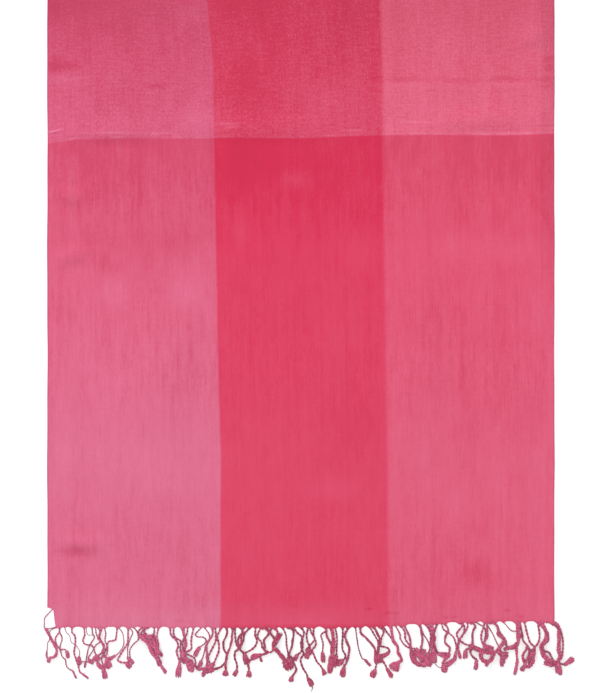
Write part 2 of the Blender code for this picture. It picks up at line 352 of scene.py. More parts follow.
WARP_LINES = tuple(YarnLine(*row) for row in (
    (-840, 217, 386),
    (-400, 214, 383),
    (-120, 208, 380),
    (0, 207, 380),
    (60, 213, 382),
    (130, 214, 383),
    (200, 215, 384),
    (300, 217, 385),
    (400, 219, 387),
    (455, 220.8, 387.6),
    (500, 220.4, 388),
    (627, 220.6, 388.5),
))

# The line where the two bands of weft meet, across and down in pixels, wavers a little.
WEFT_LINE = (
    (47, 143.5), (62, 142), (76, 139.4), (100, 139), (128, 138.2), (170, 138.8), (215, 138), (300, 138.4),
    (340, 136.8), (385, 135), (430, 134.6), (500, 135.2), (554, 133.6),
)
WEFT_WAVER_REACH = 0.07


class Strand(NamedTuple):
    """A cord of the near fringe: its thickness, the width of its tassel (0 where it ends inside
    another cord), both in mm, and its route from the hem in picture pixels. Where it has a tassel,
    the last two points are the tassel's top and tip."""

    thick: float
    tassel: float
    route: tuple


STRANDS = tuple(Strand(*row) for row in (
    (1.6, 0, ((53, 609), (48.5, 613.5), (44.6, 618), (44.3, 623), (44.6, 628), (50, 628.4), (56, 627))),
    (4.2, 5.8, ((45.5, 628.6), (47, 631), (49, 634.5), (52, 640), (55, 646), (56.6, 650), (56.3, 654),
     (53.3, 657.3), (50, 657.7), (47.4, 662.8))),
    (1.3, 3.2, ((56.5, 627.5), (50, 631), (49.8, 639), (47.6, 643), (47.2, 648), (46.6, 651.5),
     (46.9, 659))),
    (2.2, 6.6, ((59, 628), (59, 632), (55.5, 638), (56, 643), (58.5, 647.5), (61, 649.7), (64.2, 649.2),
     (66.7, 650.6), (68.2, 658.5))),
    (2, 3.8, ((60, 628), (59.5, 632), (61.7, 636.5), (61.7, 641), (60, 646.5), (60.7, 652), (62.4, 657),
     (65.3, 659.7), (66, 664.5), (68, 668.4), (73, 671), (76.5, 679))),
    (1.1, 7.8, ((64.6, 628), (66.3, 632.3), (69.5, 636), (71, 642), (74.4, 644.3), (78, 648), (79.6, 652),
     (78.9, 656.5), (79.2, 665.6))),
    (1.7, 0, ((80.5, 662), (84, 661.7), (88.5, 662.3))),
    (2.6, 3.5, ((72, 628), (72, 632.3), (75.1, 636.5), (75.1, 645), (74, 652), (75.8, 659), (78, 665.2),
     (79.6, 672), (89, 679.3))),
    (2.4, 6.5, ((84, 628), (84.6, 635), (82.8, 640), (84.2, 643.5), (88.4, 645), (91.2, 645), (93.5, 648),
     (94.7, 652), (96.2, 655.5), (98.5, 662))),
    (1, 0, ((86, 628), (87, 633.7), (89.1, 635.2), (92.6, 635.2), (94.5, 638))),
    (1.9, 3.8, ((91.9, 628), (92.6, 633.7), (94.4, 637.2), (91.2, 642.8), (88.4, 648.4), (87, 654.7),
     (86, 660.5), (84.4, 668))),
    (1.9, 6.6, ((95.4, 628), (96.1, 633.7), (97.5, 637.2), (99.6, 642.1), (96, 645), (91.9, 652),
     (88.2, 658), (88.4, 660.4), (93.6, 663.4))),
    (2.8, 7.8, ((98.2, 628), (100.3, 632), (99.3, 636.5), (101, 640.7), (103.8, 645), (103.1, 649),
     (101, 653.3), (99, 655.2), (93, 660.4))),
    (3.2, 11, ((101.7, 628), (99.8, 634), (98.5, 638.5), (102.5, 643), (104, 648), (103, 653),
     (106, 657.5), (109, 669))),
    (2, 7.2, ((104.5, 628), (105.6, 633.7), (105, 640.7), (106.8, 646), (105, 652), (101.5, 658),
     (103.6, 667.5), (105.2, 679.5))),
    (2.6, 7.2, ((117.2, 627.5), (116.5, 634), (115.1, 640), (108.9, 641.4), (107.3, 645), (107.3, 650.5),
     (105.5, 656), (100, 658), (97, 662.6), (102.6, 669.8))),
    (1.5, 5.6, ((118.6, 627.5), (122.1, 632.3), (123.5, 638), (123.5, 645), (120, 651.2), (115.6, 655.6),
     (106.5, 660.2))),
    (2.8, 8, ((128, 628), (128, 636.5), (127.3, 643.5), (122.8, 650.5), (120, 655.4), (117.6, 660),
     (121.4, 662.4), (125.4, 662.6), (131.4, 667.6))),
    (1.7, 6, ((129.4, 628), (132.6, 632.3), (130, 639.3), (127.7, 647.7), (127.6, 657), (133.8, 664.6))),
    (1.9, 5, ((133.3, 627), (136.8, 631.6), (138, 639.3), (132.6, 645), (129.8, 650.5), (130, 657.4),
     (127.4, 665))),
    (2.8, 0, ((142.4, 627), (138.2, 631.6), (139, 637), (137.5, 641))),
    (3.1, 0, ((148, 627), (143.8, 631.6), (147.3, 635.3), (151, 639.5), (154, 646))),
    (5.6, 0, ((140, 635.6), (147, 635.8), (153.5, 636.6), (156.4, 641), (158.2, 647.5))),
    (5.2, 0, ((143, 638.4), (148.6, 641.2), (150.6, 646), (151.6, 651.6), (155, 657))),
    (5.4, 7.4, ((139.5, 634.4), (145, 638.4), (150, 641.5), (153, 648), (157, 656), (160.2, 667))),
    (4.4, 5.5, ((142, 637.6), (147, 641.5), (150.4, 647), (153.4, 653.6), (158.4, 660), (161.6, 666),
     (166.2, 673.8))),
    (5.2, 4.6, ((146, 635), (151, 637), (154, 641), (156, 647), (157.5, 653), (158.5, 660))),
    (2.8, 0, ((154.1, 627.5), (154.1, 633), (151.5, 637), (152.5, 644))),
    (2.6, 5.1, ((158.5, 628), (157, 635), (157.6, 643.5), (158.7, 649.4), (162.4, 657))),
    (2.6, 0, ((145, 627.5), (141.5, 632.5), (140.5, 637))),
    (3.1, 10.3, ((170, 628), (171, 635), (176, 640), (178, 645.6), (176.6, 652), (178.7, 659),
     (179.7, 663), (177.9, 678))),
    (2.6, 7.9, ((173.6, 628), (173.8, 635), (177.3, 638.6), (180.8, 641.4), (180.1, 647.7), (181, 654),
     (185, 664))),
    (4.5, 9, ((182.5, 628), (184.3, 636.5), (185.7, 643.5), (184.3, 650.5), (183.4, 656), (186.4, 660.5),
     (192.4, 672.6))),
    (6.2, 8.4, ((181.5, 650), (184.4, 655), (188.2, 659.5), (192.6, 663), (191.4, 672))),
    (4.4, 0, ((190, 661.5), (195, 665.5), (199.6, 668.4), (205.5, 669))),
    (2.9, 7.5, ((193.4, 628), (191.3, 639.3), (191.3, 648.4), (188.5, 651), (184.2, 651.8), (181, 661.5))),
    (2.6, 0, ((187.5, 628), (186.8, 634), (183.3, 639.5), (182.6, 646), (184.5, 652), (190, 655.5),
     (194.2, 658), (195.5, 662), (195.8, 666), (198.3, 669.4), (203.2, 669.2), (208, 669))),
    (2.2, 7, ((201, 628), (195.7, 633.7), (197, 636.7), (203.2, 637.3), (206, 640), (204.6, 643.5),
     (200, 647), (194.2, 656.6))),
    (2.1, 7, ((204.6, 628), (208.8, 633.7), (209.5, 639.3), (206, 645), (204.6, 650.5), (202.5, 658.2),
     (200.8, 660.6), (199.8, 667))),
    (3.4, 6.2, ((212.3, 628), (212.3, 635), (209.5, 639.3), (206.7, 645), (206.7, 653.3), (206.9, 666),
     (202.2, 677.6))),
    (3, 11.8, ((215.2, 628), (215.9, 639.3), (212.3, 648.4), (208.8, 655.4), (208.4, 660.3), (210.4, 664),
     (207, 673.6))),
    (3, 8.9, ((221, 628), (217.3, 636.5), (218.7, 643.5), (218.7, 651.2), (216, 658.2), (214.2, 662.6),
     (208, 670.4))),
    (3.4, 7, ((226.4, 627.5), (226.7, 634.4), (223.6, 641.4), (223.6, 648.4), (226.4, 654.7), (225.7, 661),
     (221, 666.6), (214.4, 669.4), (205, 671))),
    (3.5, 9.9, ((232.5, 627.5), (232, 635), (231.3, 642), (229.2, 649), (226.8, 655), (225.7, 662),
     (225.6, 670.4), (225, 676.4))),
    (3, 7.3, ((234.6, 627.5), (235.2, 636.5), (236.2, 643.5), (238.2, 648.4), (235, 652), (234.8, 658.2),
     (236.9, 664.5), (236.8, 670.6), (234.2, 676.4))),
    (3.9, 0, ((241, 627.5), (242.5, 632.3), (238.3, 638), (237.7, 642), (238.3, 648))),
    (3, 0, ((243.5, 627.5), (241.2, 635), (241.2, 642), (238.8, 648), (235.2, 652))),
    (3.4, 7.3, ((249.5, 627.5), (244.6, 633.7), (243.2, 640.7), (239.8, 648.5), (243, 652.5), (246, 658),
     (248.4, 666), (248.7, 671.2), (249.5, 677.8))),
    (3, 12, ((255.6, 627.5), (255, 635), (257, 640.7), (255, 646.3), (250, 650.5), (244.4, 653),
     (247.4, 665))),
    (2.1, 3.8, ((245.6, 657.5), (247.4, 659.4), (249.4, 660.6), (254, 658.2))),
    (2.1, 4, ((257.5, 654.4), (259, 655.6), (260, 657), (262, 662.2))),
    (2.8, 0, ((260.5, 627.5), (257.5, 636.5), (261.2, 642), (262.6, 648), (268, 651.8), (271, 652),
     (274.6, 649))),
    (3.7, 9.7, ((265.4, 627.5), (269.6, 632.3), (264, 640), (264.7, 646.5), (264.4, 650), (267.5, 652.4),
     (261.5, 654.6), (250.5, 658))),
    (3.4, 0, ((262.5, 627.5), (268.5, 631), (270.2, 634))),
    (3.4, 0, ((271.4, 627.5), (270.3, 632.3), (273.9, 638), (276.6, 643.5), (273.2, 646.5), (272.8, 650))),
    (4, 0, ((274.6, 627.5), (277.4, 633), (275.3, 639.3), (272.5, 645), (273.6, 648.6))),
    (6.4, 15, ((273, 646.6), (276, 649), (279, 652.4), (281.4, 656), (283.6, 658.6), (291, 670.6))),
    (4, 8.3, ((281, 653), (283, 658), (286, 660.5), (286.4, 668.6))),
    (1.6, 0, ((286.4, 661), (284, 662.6), (281.6, 663.2))),
    (1.7, 0, ((287, 664), (284.6, 666.4), (282.6, 667.2))),
    (1.6, 0, ((288.6, 666.6), (286.4, 669.4), (285, 670.2))),
    (1.6, 0, ((292, 659.6), (294.6, 659.4), (296.4, 658))),
    (2, 4.8, ((272.6, 648), (274.4, 646.2), (276.4, 643), (281.8, 632.4))),
    (2.5, 10.5, ((282.6, 627.5), (285.8, 635), (286.5, 645), (288, 653.3), (288, 658), (285.6, 668.6))),
    (3.5, 9.9, ((288, 627.5), (293.3, 631), (292.8, 639.3), (291.4, 647.7), (289, 653.3), (289, 658.6),
     (290.6, 669.4))),
    (3.4, 6.8, ((290.5, 656), (292.4, 660), (295.6, 667.3), (296.2, 670.2), (292.1, 676.6),
     (290.2, 682.3))),
    (3, 7.9, ((293.1, 627.5), (297.7, 633), (301.8, 637.2), (301, 643.5), (301.2, 651.2), (297.7, 654.5),
     (293.6, 660.4))),
    (3, 8.1, ((301.2, 627.5), (304, 632.3), (302.4, 639.3), (302.7, 645), (302.5, 650.5), (303.8, 654),
     (300.6, 659.6), (302.6, 667.3), (306.8, 674.4), (307.3, 678), (312.4, 686.6))),
    (1.4, 0, ((312, 684), (312.4, 688), (311.4, 691.6))),
    (2.8, 7.9, ((308.2, 627.5), (306.6, 635), (307.5, 642), (310, 646.5), (308.8, 649), (306.4, 659.4))),
    (2.5, 11.3, ((309.6, 627.5), (311.7, 633.7), (314.5, 639.3), (309.8, 645.6), (305.8, 649.6),
     (311.8, 654))),
    (2.8, 7.3, ((313.8, 627.5), (313.5, 635), (315.9, 642), (315.2, 646.3), (312.4, 650), (314.4, 656),
     (317, 662), (320.2, 665.2), (323, 670), (324.6, 675.4))),
    (2.4, 7, ((324.4, 627.5), (326.2, 630.8), (321, 635), (323, 643.5), (322.5, 652), (323.6, 663.2))),
    (3.7, 9.2, ((325.8, 627.5), (327.2, 637.2), (330.7, 643.5), (331.3, 650.5), (331, 658), (329.7, 674))),
    (5.4, 13.5, ((331.4, 627.5), (333.5, 638), (333.2, 647.7), (332.6, 652.4), (331.8, 664.4))),
    (2.6, 8.1, ((335.2, 627.5), (337, 638), (336.6, 649), (336.6, 655), (333.2, 668.4))),
    (2.8, 10.3, ((342.6, 627.5), (342.6, 636.5), (342.3, 648.4), (345.4, 655.4), (343.8, 660),
     (335.6, 664.4))),
    (4, 8.1, ((348.2, 627), (344.8, 636), (349, 647.7), (348.2, 655.4), (346.1, 663), (343.8, 666.6),
     (342.6, 677.6))),
    (2, 5.2, ((355.3, 627), (357, 639.3), (358.4, 647.7), (361.6, 657.5), (364.6, 659.7), (371, 666.5))),
    (3.7, 10.5, ((360.5, 626.5), (360.4, 632.3), (366, 638), (372.3, 645), (374.6, 649), (375.2, 655),
     (377.6, 664.4))),
    (2.6, 10.3, ((369.6, 626.5), (374, 634.4), (378, 642), (377.5, 650.5), (376.4, 657), (376.4, 664),
     (375.4, 669), (372.2, 677.8))),
    (3.9, 11.3, ((373.5, 626.5), (378, 635), (379.4, 639.3), (378.2, 650), (378.2, 654), (380.2, 663.4))),
    (3, 6.6, ((379.5, 626.3), (383.6, 631.6), (381, 639.3), (380.6, 645.6), (385, 647), (388.8, 648.8),
     (389.4, 652.6), (379.5, 657.2))),
    (2.8, 0, ((383, 626.2), (388, 633.7), (393.5, 640.7), (397.7, 645.4))),
    (3, 6, ((380.5, 656), (382, 659.5), (385.1, 664.5), (386.4, 668), (392.4, 678.4))),
    (4.5, 11.8, ((390.7, 626), (392.1, 634.4), (393.5, 641.4), (397, 645.6), (398.4, 653.3), (401, 657),
     (401.9, 660.2), (400.6, 661.6), (389.6, 668.4))),
    (3, 8.1, ((401, 658), (400.4, 661), (398.6, 663), (395.2, 671.6))),
    (2.5, 7.3, ((395.6, 626), (399.8, 633.7), (400.5, 639.3), (405.4, 645.6), (411, 648.2), (415, 648.4),
     (424.4, 656.4))),
    (3, 9.4, ((400.5, 625.8), (404.7, 631.6), (405.4, 639.3), (409.8, 645.5), (411.4, 650.6), (414, 661))),
    (3.4, 6.8, ((404, 625.6), (408.2, 633.7), (410.3, 640.7), (410.5, 649), (411, 658.6), (416.5, 664.8),
     (422.6, 666), (431, 662.4))),
    (5.5, 9.9, ((412.4, 655), (414, 659), (417.6, 662.2), (421.4, 663.8), (432.4, 663))),
    (4.7, 10.5, ((411, 651), (414.4, 652), (417, 653.6), (425.4, 661.6))),
    (1.3, 0, ((434, 662), (437.5, 666.4), (441, 667.6), (445.4, 664.6))),
    (3.7, 6, ((419.4, 624.8), (421.6, 633.7), (422.3, 641.4), (421, 649), (425.8, 650.6), (418.6, 659))),
    (2, 0, ((420.5, 624.8), (422.6, 632.5), (428, 641.5), (430, 649))),
    (3, 10.5, ((425.8, 624.4), (430, 631.6), (430.7, 639.3), (430, 648), (428.6, 653), (424, 664.4))),
    (6.4, 14.3, ((430.7, 624.2), (433.5, 635), (433, 643.5), (433, 648), (433.6, 664))),
    (3.4, 9.1, ((437, 623.8), (434.2, 631), (433.2, 638), (434.5, 645), (437.4, 653.4), (448.8, 656.6))),
    (2.4, 8.1, ((441.5, 623.6), (443.3, 629), (447.5, 632.3), (453, 636.5), (455.2, 642), (456.6, 649),
     (455.2, 654), (456.2, 658.2), (445.4, 666))),
    (3.5, 0, ((444.7, 623.4), (448.2, 630.2), (446, 635), (444.8, 642), (449.5, 647.7), (449, 654))),
    (5.2, 8.3, ((449.2, 653), (447.4, 657), (444.4, 660.6), (442.8, 664), (445.4, 673))),
    (3, 5, ((459, 622.6), (462.2, 625.8), (457.5, 632), (456.6, 635), (458.6, 640), (458.2, 650),
     (460.8, 659.6))),
    (3, 8.1, ((462.6, 622.4), (464.6, 628), (463, 635), (459.8, 640), (465, 644), (470, 645.6),
     (482, 650.8))),
    (2.8, 5.5, ((467.8, 622.2), (467, 628.7), (461.4, 636), (459.2, 640), (456.6, 647), (455.8, 652),
     (454.6, 661))),
    (3.7, 7.6, ((471, 622), (475.3, 626.3), (472.6, 632), (472.1, 644.7), (469, 648.4), (465.6, 649.6),
     (464.8, 659.2))),
    (6.6, 0, ((469.4, 645.4), (474.6, 647.6), (480, 650.2), (486.6, 652), (493, 652.8))),
    (6.2, 0, ((481.6, 650.4), (480.8, 655), (482.8, 659.8), (487, 661.8), (491, 659.6), (492.6, 655.6),
     (492.4, 651), (488.6, 649.2))),
    (3.2, 4.5, ((487.6, 660.6), (487.4, 662.6), (485.8, 666.8))),
    (3.4, 7.9, ((473.5, 646), (470.6, 649.6), (471.2, 655), (476.4, 659.6), (475.4, 670.4))),
    (2.1, 0, ((475.7, 622), (479.6, 624.6), (483.6, 626.8), (485.6, 632), (484.4, 641), (483.5, 650))),
    (3, 8.9, ((484.8, 622.2), (483.4, 627.6), (481.4, 634), (481.4, 640), (483.4, 645.4), (494, 649.8))),
    (3.9, 0, ((487, 621.8), (487, 627), (487, 636.7), (483.8, 642.3), (484, 647), (481.6, 652),
     (481.8, 657))),
    (4.2, 0, ((490.2, 621.8), (497.3, 626.3), (498.1, 634.3), (502.8, 639), (505, 642.5), (499.7, 647),
     (496, 650.6), (493.6, 653.2))),
    (1.8, 6.8, ((487.5, 625), (492.5, 633.5), (496.5, 642.3), (499.7, 648), (502.4, 654), (502, 666))),
    (3, 7.6, ((495, 621.8), (499, 631), (504.4, 638.3), (506.4, 645), (506.4, 648.4), (517.4, 646.2))),
    (4.5, 0, ((504, 649.4), (508, 647.8), (513, 646.6), (517, 642))),
    (5.5, 0, ((504.4, 640.4), (501, 645), (497.4, 650))),
    (4.7, 11.4, ((499, 650), (498.6, 653.4), (508.8, 655.4))),
    (3.8, 5.9, ((500, 654), (501.6, 657.6), (502, 667))),
    (1.8, 0, ((503.6, 622), (510.8, 630.3), (516.4, 631.5), (518, 635))),
    (6.2, 0, ((517.6, 621.8), (518, 627), (518.2, 634), (518, 641))),
    (4, 5.7, ((518, 621.8), (518, 631), (518, 640), (516.5, 648), (516.6, 655), (517.3, 661),
     (514.6, 676))),
    (4.3, 0, ((527.8, 646.4), (524.6, 651.4), (522.6, 656.6), (523.8, 661), (527.4, 659.4), (530.4, 655))),
    (5.2, 0, ((531.4, 649), (533.2, 655), (532.8, 661.4), (529.4, 666), (524.6, 666.8), (521.4, 667.4))),
    (3.4, 5.9, ((519.5, 623), (522, 634.3), (522.8, 640), (527.6, 646.3), (529, 652), (525.6, 662),
     (521.2, 672))),
    (3, 9.2, ((524.4, 621.8), (526.8, 632), (530, 642.3), (534.7, 647), (534.6, 651), (529.6, 665.4))),
    (3, 8.3, ((537.5, 621.8), (539.5, 634.3), (538.3, 642.3), (534, 647.8), (531.6, 651), (530, 661.6))),
    (6.2, 8.1, ((540.3, 621.8), (545.9, 631), (546, 638.3), (542, 644.7), (542, 651), (543.5, 656.6),
     (549.4, 660.6), (558, 665.4))),
    (1.8, 0, ((544, 628), (547.2, 634), (548.6, 640.4), (544, 645))),
    (5.5, 0, ((543.4, 654.6), (548, 658.6), (553, 662.4), (558.4, 666.4))),
    (3.4, 6.8, ((541.5, 644), (543.5, 650.2), (549, 652.6), (551.5, 657.4), (553.5, 662), (552.6, 665.8),
     (543.2, 661.8))),
    (2, 0, ((546.7, 621.6), (555.5, 626.3), (558.7, 631))),
    (5.5, 9.4, ((552.6, 621.6), (558.4, 626.3), (558.8, 636), (558.8, 648), (559.6, 656), (557.7, 662),
     (560, 675.6))),
    (2.8, 8.6, ((553.4, 621.6), (558.7, 627), (562, 635), (563.1, 644.7), (561.9, 655.8), (558.4, 661.8),
     (564, 665), (574.2, 658))),
))

# Yarn tones: each band of warp over the end bands' weft and over the middle band's weft, the
# tones they pale or deepen to, and the fringe's own
PINK_WARP = linear(197, 64, 97)
RED_WARP = linear(198, 33, 71)
RIGHT_PINK_WARP = linear(201, 61, 92)
PINK_OVER_DARK = linear(191, 61, 95)
RED_OVER_DARK = linear(192, 42, 77)
RIGHT_PINK_OVER_DARK = linear(202, 76, 104)
# The pale tone is the yarn's own and also the colour of painted sheen and painted highlights on the cloth
# and the cords; the deep tone is the yarn's slubs and also the colour of painted shade.
PALE_YARN_AND_HIGHLIGHT = linear(226, 180, 215)
DEEP_YARN_AND_SHADE = linear(160, 22, 56)
FRINGE_PINK = linear(190, 72, 110)
FRINGE_RED = linear(178, 43, 78)
# The fringe's dull tone is also the painted shade at the sides of dull cords, and the next tone is the
# painted shade at the sides of bright cords.
FRINGE_DUSK = linear(106, 38, 64)
FRINGE_SIDE_SHADE = linear(150, 26, 66)
FLOOR_WHITE = (0.93, 0.93, 0.93, 1.0)
FLOOR_REACH = 4.0


def hem(x):
    """Y of the near hem at x."""
    return HEM_RISE * smooth((x - HEM_RISE_FROM) / (HEM_RISE_TO - HEM_RISE_FROM)) - CLOTH_LENGTH / 2


def left_edge(y):
    """X of the left selvedge at y, stepped in where the near corner is notched."""
    above_hem = y + CLOTH_LENGTH / 2
    step = NOTCH_WIDTH * np.clip((NOTCH_DEPTH - above_hem) / NOTCH_STEP, 0.0, 1.0)
    slant = NOTCH_SLANT * np.clip(1 - above_hem / NOTCH_DEPTH, 0.0, 1.0)
    return -CLOTH_WIDTH / 2 + step + slant


def crest(share):
    """Cross-section of a fold: 1 at its middle and 0 from its feet outwards."""
    return np.cos(np.clip(share, -1.0, 1.0) * math.pi / 2) ** 2


def ridge(fold, x, y):
    """One fold's height at x, y: its crest across it times its crest along it."""
    turn = math.radians(fold.turn)
    along = (x - fold.x) * math.cos(turn) + (y - fold.y) * math.sin(turn)
    across = (y - fold.y) * math.cos(turn) - (x - fold.x) * math.sin(turn)
    return fold.height * crest(2 * along / fold.length) * crest(2 * across / fold.width)


def crease_fold(crease):
    """A crease read in pixels, as a fold in metres."""
    return Fold(picture_x(crease.across), picture_y(crease.down), crease.turn, crease.length * PIXEL,
                crease.width * PIXEL, crease.height / 1000)


# A faint ripple all over the cloth: its height, the margin where it dies away, and the radians a metre
# of its two waves and of the slower ones that bend them
RIPPLE_HEIGHT = 0.00016
RIPPLE_MARGIN = 0.05
WAVE_ACROSS, WAVE_ALONG = 41, 33
BEND_ACROSS, BEND_ALONG = 23, 17


def lift(x, y):
    """How far the cloth stands off the surface: the highest of the solid's folds at each point, and
    the sum of the fine creases, with a faint ripple that dies away at the edges."""
    height = np.zeros_like(x)
    for fold in FOLDS:
        height = np.maximum(height, ridge(fold, x, y))
    for crease in CREASES:
        height = height + ridge(crease_fold(crease), x, y)
    ripple = np.sin(x * WAVE_ACROSS + 1.3 * np.sin(y * BEND_ALONG))
    ripple = ripple * np.sin(y * WAVE_ALONG + 1.1 * np.sin(x * BEND_ACROSS))
    inner = smooth((CLOTH_WIDTH / 2 - np.abs(x)) / RIPPLE_MARGIN)
    return height + RIPPLE_HEIGHT * ripple * inner


def paleness_at(x, y):
    """How much paler the cloth is at x, y: the sum of the soft areas, each a bell in both directions,
    the picture's own and others strewn beyond its top."""
    rng = np.random.default_rng(HIDDEN_SEED)
    strewn = [Area(*(rng.uniform(least, most) for least, most in zip(HIDDEN_LEAST, HIDDEN_MOST)))
              for _ in range(HIDDEN_AREAS)]
    total = np.zeros_like(x)
    for area in [*AREAS, *strewn]:
        off_x = (x - picture_x(area.across)) / (area.wide * PIXEL)
        off_y = (y - picture_y(area.down)) / (area.tall * PIXEL)
        total = total + area.pale * np.exp(-off_x ** 2 - off_y ** 2)
    return total


def yarn_across(x, y):
    """The warp's own coordinate at x, y, in metres: straight across a band, and bent so that each band
    is a third of the width whatever line it takes."""
    row = picture_row(y)
    downs = [line.down for line in WARP_LINES]
    left = picture_x(np.interp(row, downs, [line.left for line in WARP_LINES]))
    right = picture_x(np.interp(row, downs, [line.right for line in WARP_LINES]))
    half, third = CLOTH_WIDTH / 2, CLOTH_WIDTH / 6
    first = -half + (x + half) / (left + half) * (half - third)
    second = -third + (x - left) / (right - left) * 2 * third
    last = third + (x - right) / (half - right) * (half - third)
    return np.where(x < left, first, np.where(x < right, second, last))


def yarn_along(x, y):
    """The weft's own coordinate at x, y: Y, shifted near each weft line by as much as it wavers."""
    pixels = np.array(WEFT_LINE)
    nominal = CLOTH_LENGTH / 6
    near = picture_y(np.interp(x, picture_x(pixels[:, 0]), pixels[:, 1])) + nominal
    far = -np.interp(-x, picture_x(pixels[:, 0]), picture_y(pixels[:, 1])) - nominal
    near_share = np.exp(-((y + nominal) / WEFT_WAVER_REACH) ** 2)
    far_share = np.exp(-((y - nominal) / WEFT_WAVER_REACH) ** 2)
    return y - near * near_share - far * far_share


# Edges that turn by more than this stay crisp.
CRISP_ANGLE = math.radians(50)


def grid_faces(rows, columns):
    """Quads of a grid of points that runs row by row, facing up where rows go +Y and columns +X."""
    corner = (np.arange(rows - 1)[:, None] * columns + np.arange(columns - 1)[None, :]).ravel()
    return np.stack([corner, corner + 1, corner + columns + 1, corner + columns], axis=1)


def shell_faces(rows, columns):
    """Faces of a closed shell whose points are an upper grid and then a lower one: both grids, and a
    rim of quads between their edges, all facing outwards."""
    upper = grid_faces(rows, columns)
    size = rows * columns
    lower = upper[:, ::-1] + size
    index = np.arange(size).reshape(rows, columns)
    loop = np.concatenate([index[0, :-1], index[:-1, -1], index[-1, :0:-1], index[:0:-1, 0]])
    after = np.roll(loop, -1)
    rim = np.stack([loop + size, after + size, after, loop], axis=1)
    return [upper, lower, rim]


def make_shell(name, x, y, z, pale, thickness, turn=1.0):
    """A closed shell so thick under an upper face given as grids of x, y and z, with the yarn's own
    coordinates as its UV map and how pale it is at each point. Its rim stays crisp."""
    upper = np.stack([x, y, z], axis=2).reshape(-1, 3)
    points = turned(np.vstack([upper, upper - np.array([0.0, 0.0, thickness])]), turn)
    yarn = np.stack([yarn_across(x, y), yarn_along(x, y)], axis=2).reshape(-1, 2)
    floats = {"pale": np.concatenate([pale.ravel(), pale.ravel()])}
    shell = build_mesh(name, points, shell_faces(*x.shape), np.vstack([yarn, yarn]) * turn, floats)
    shell.data.set_sharp_from_angle(angle=CRISP_ANGLE)
    return shell


def tube_faces(rings, sides, start=0):
    """Quads round a tube of so many rings, whose points are numbered ring by ring from start on."""
    ring = np.arange(rings - 1)[:, None] * sides
    side = np.arange(sides)[None, :]
    after = (side + 1) % sides
    quads = np.stack([ring + side, ring + after, ring + sides + after, ring + sides + side], axis=2)
    return quads.reshape(-1, 4) + start


def build_mesh(name, points, faces, maps=None, floats=None):
    """A mesh object from arrays: points n x 3, faces a list of index arrays, a UV for each point, and
    named values for each point."""
    mesh = bpy.data.meshes.new(name)
    mesh.from_pydata(points.tolist(), [], [face for block in faces for face in block.tolist()])
    corners = np.empty(len(mesh.loops), dtype=np.int32)
    mesh.loops.foreach_get("vertex_index", corners)
    if maps is not None:
        layer = mesh.uv_layers.new(name="yarn")
        layer.uv.foreach_set("vector", maps[corners].astype(np.float32).ravel())
    for label, values in (floats or {}).items():
        attribute = mesh.attributes.new(label, "FLOAT", "POINT")
        attribute.data.foreach_set("value", values.astype(np.float32))
    mesh.shade_smooth()
    piece = bpy.data.objects.new(name, mesh)
    bpy.context.scene.collection.objects.link(piece)
    return piece


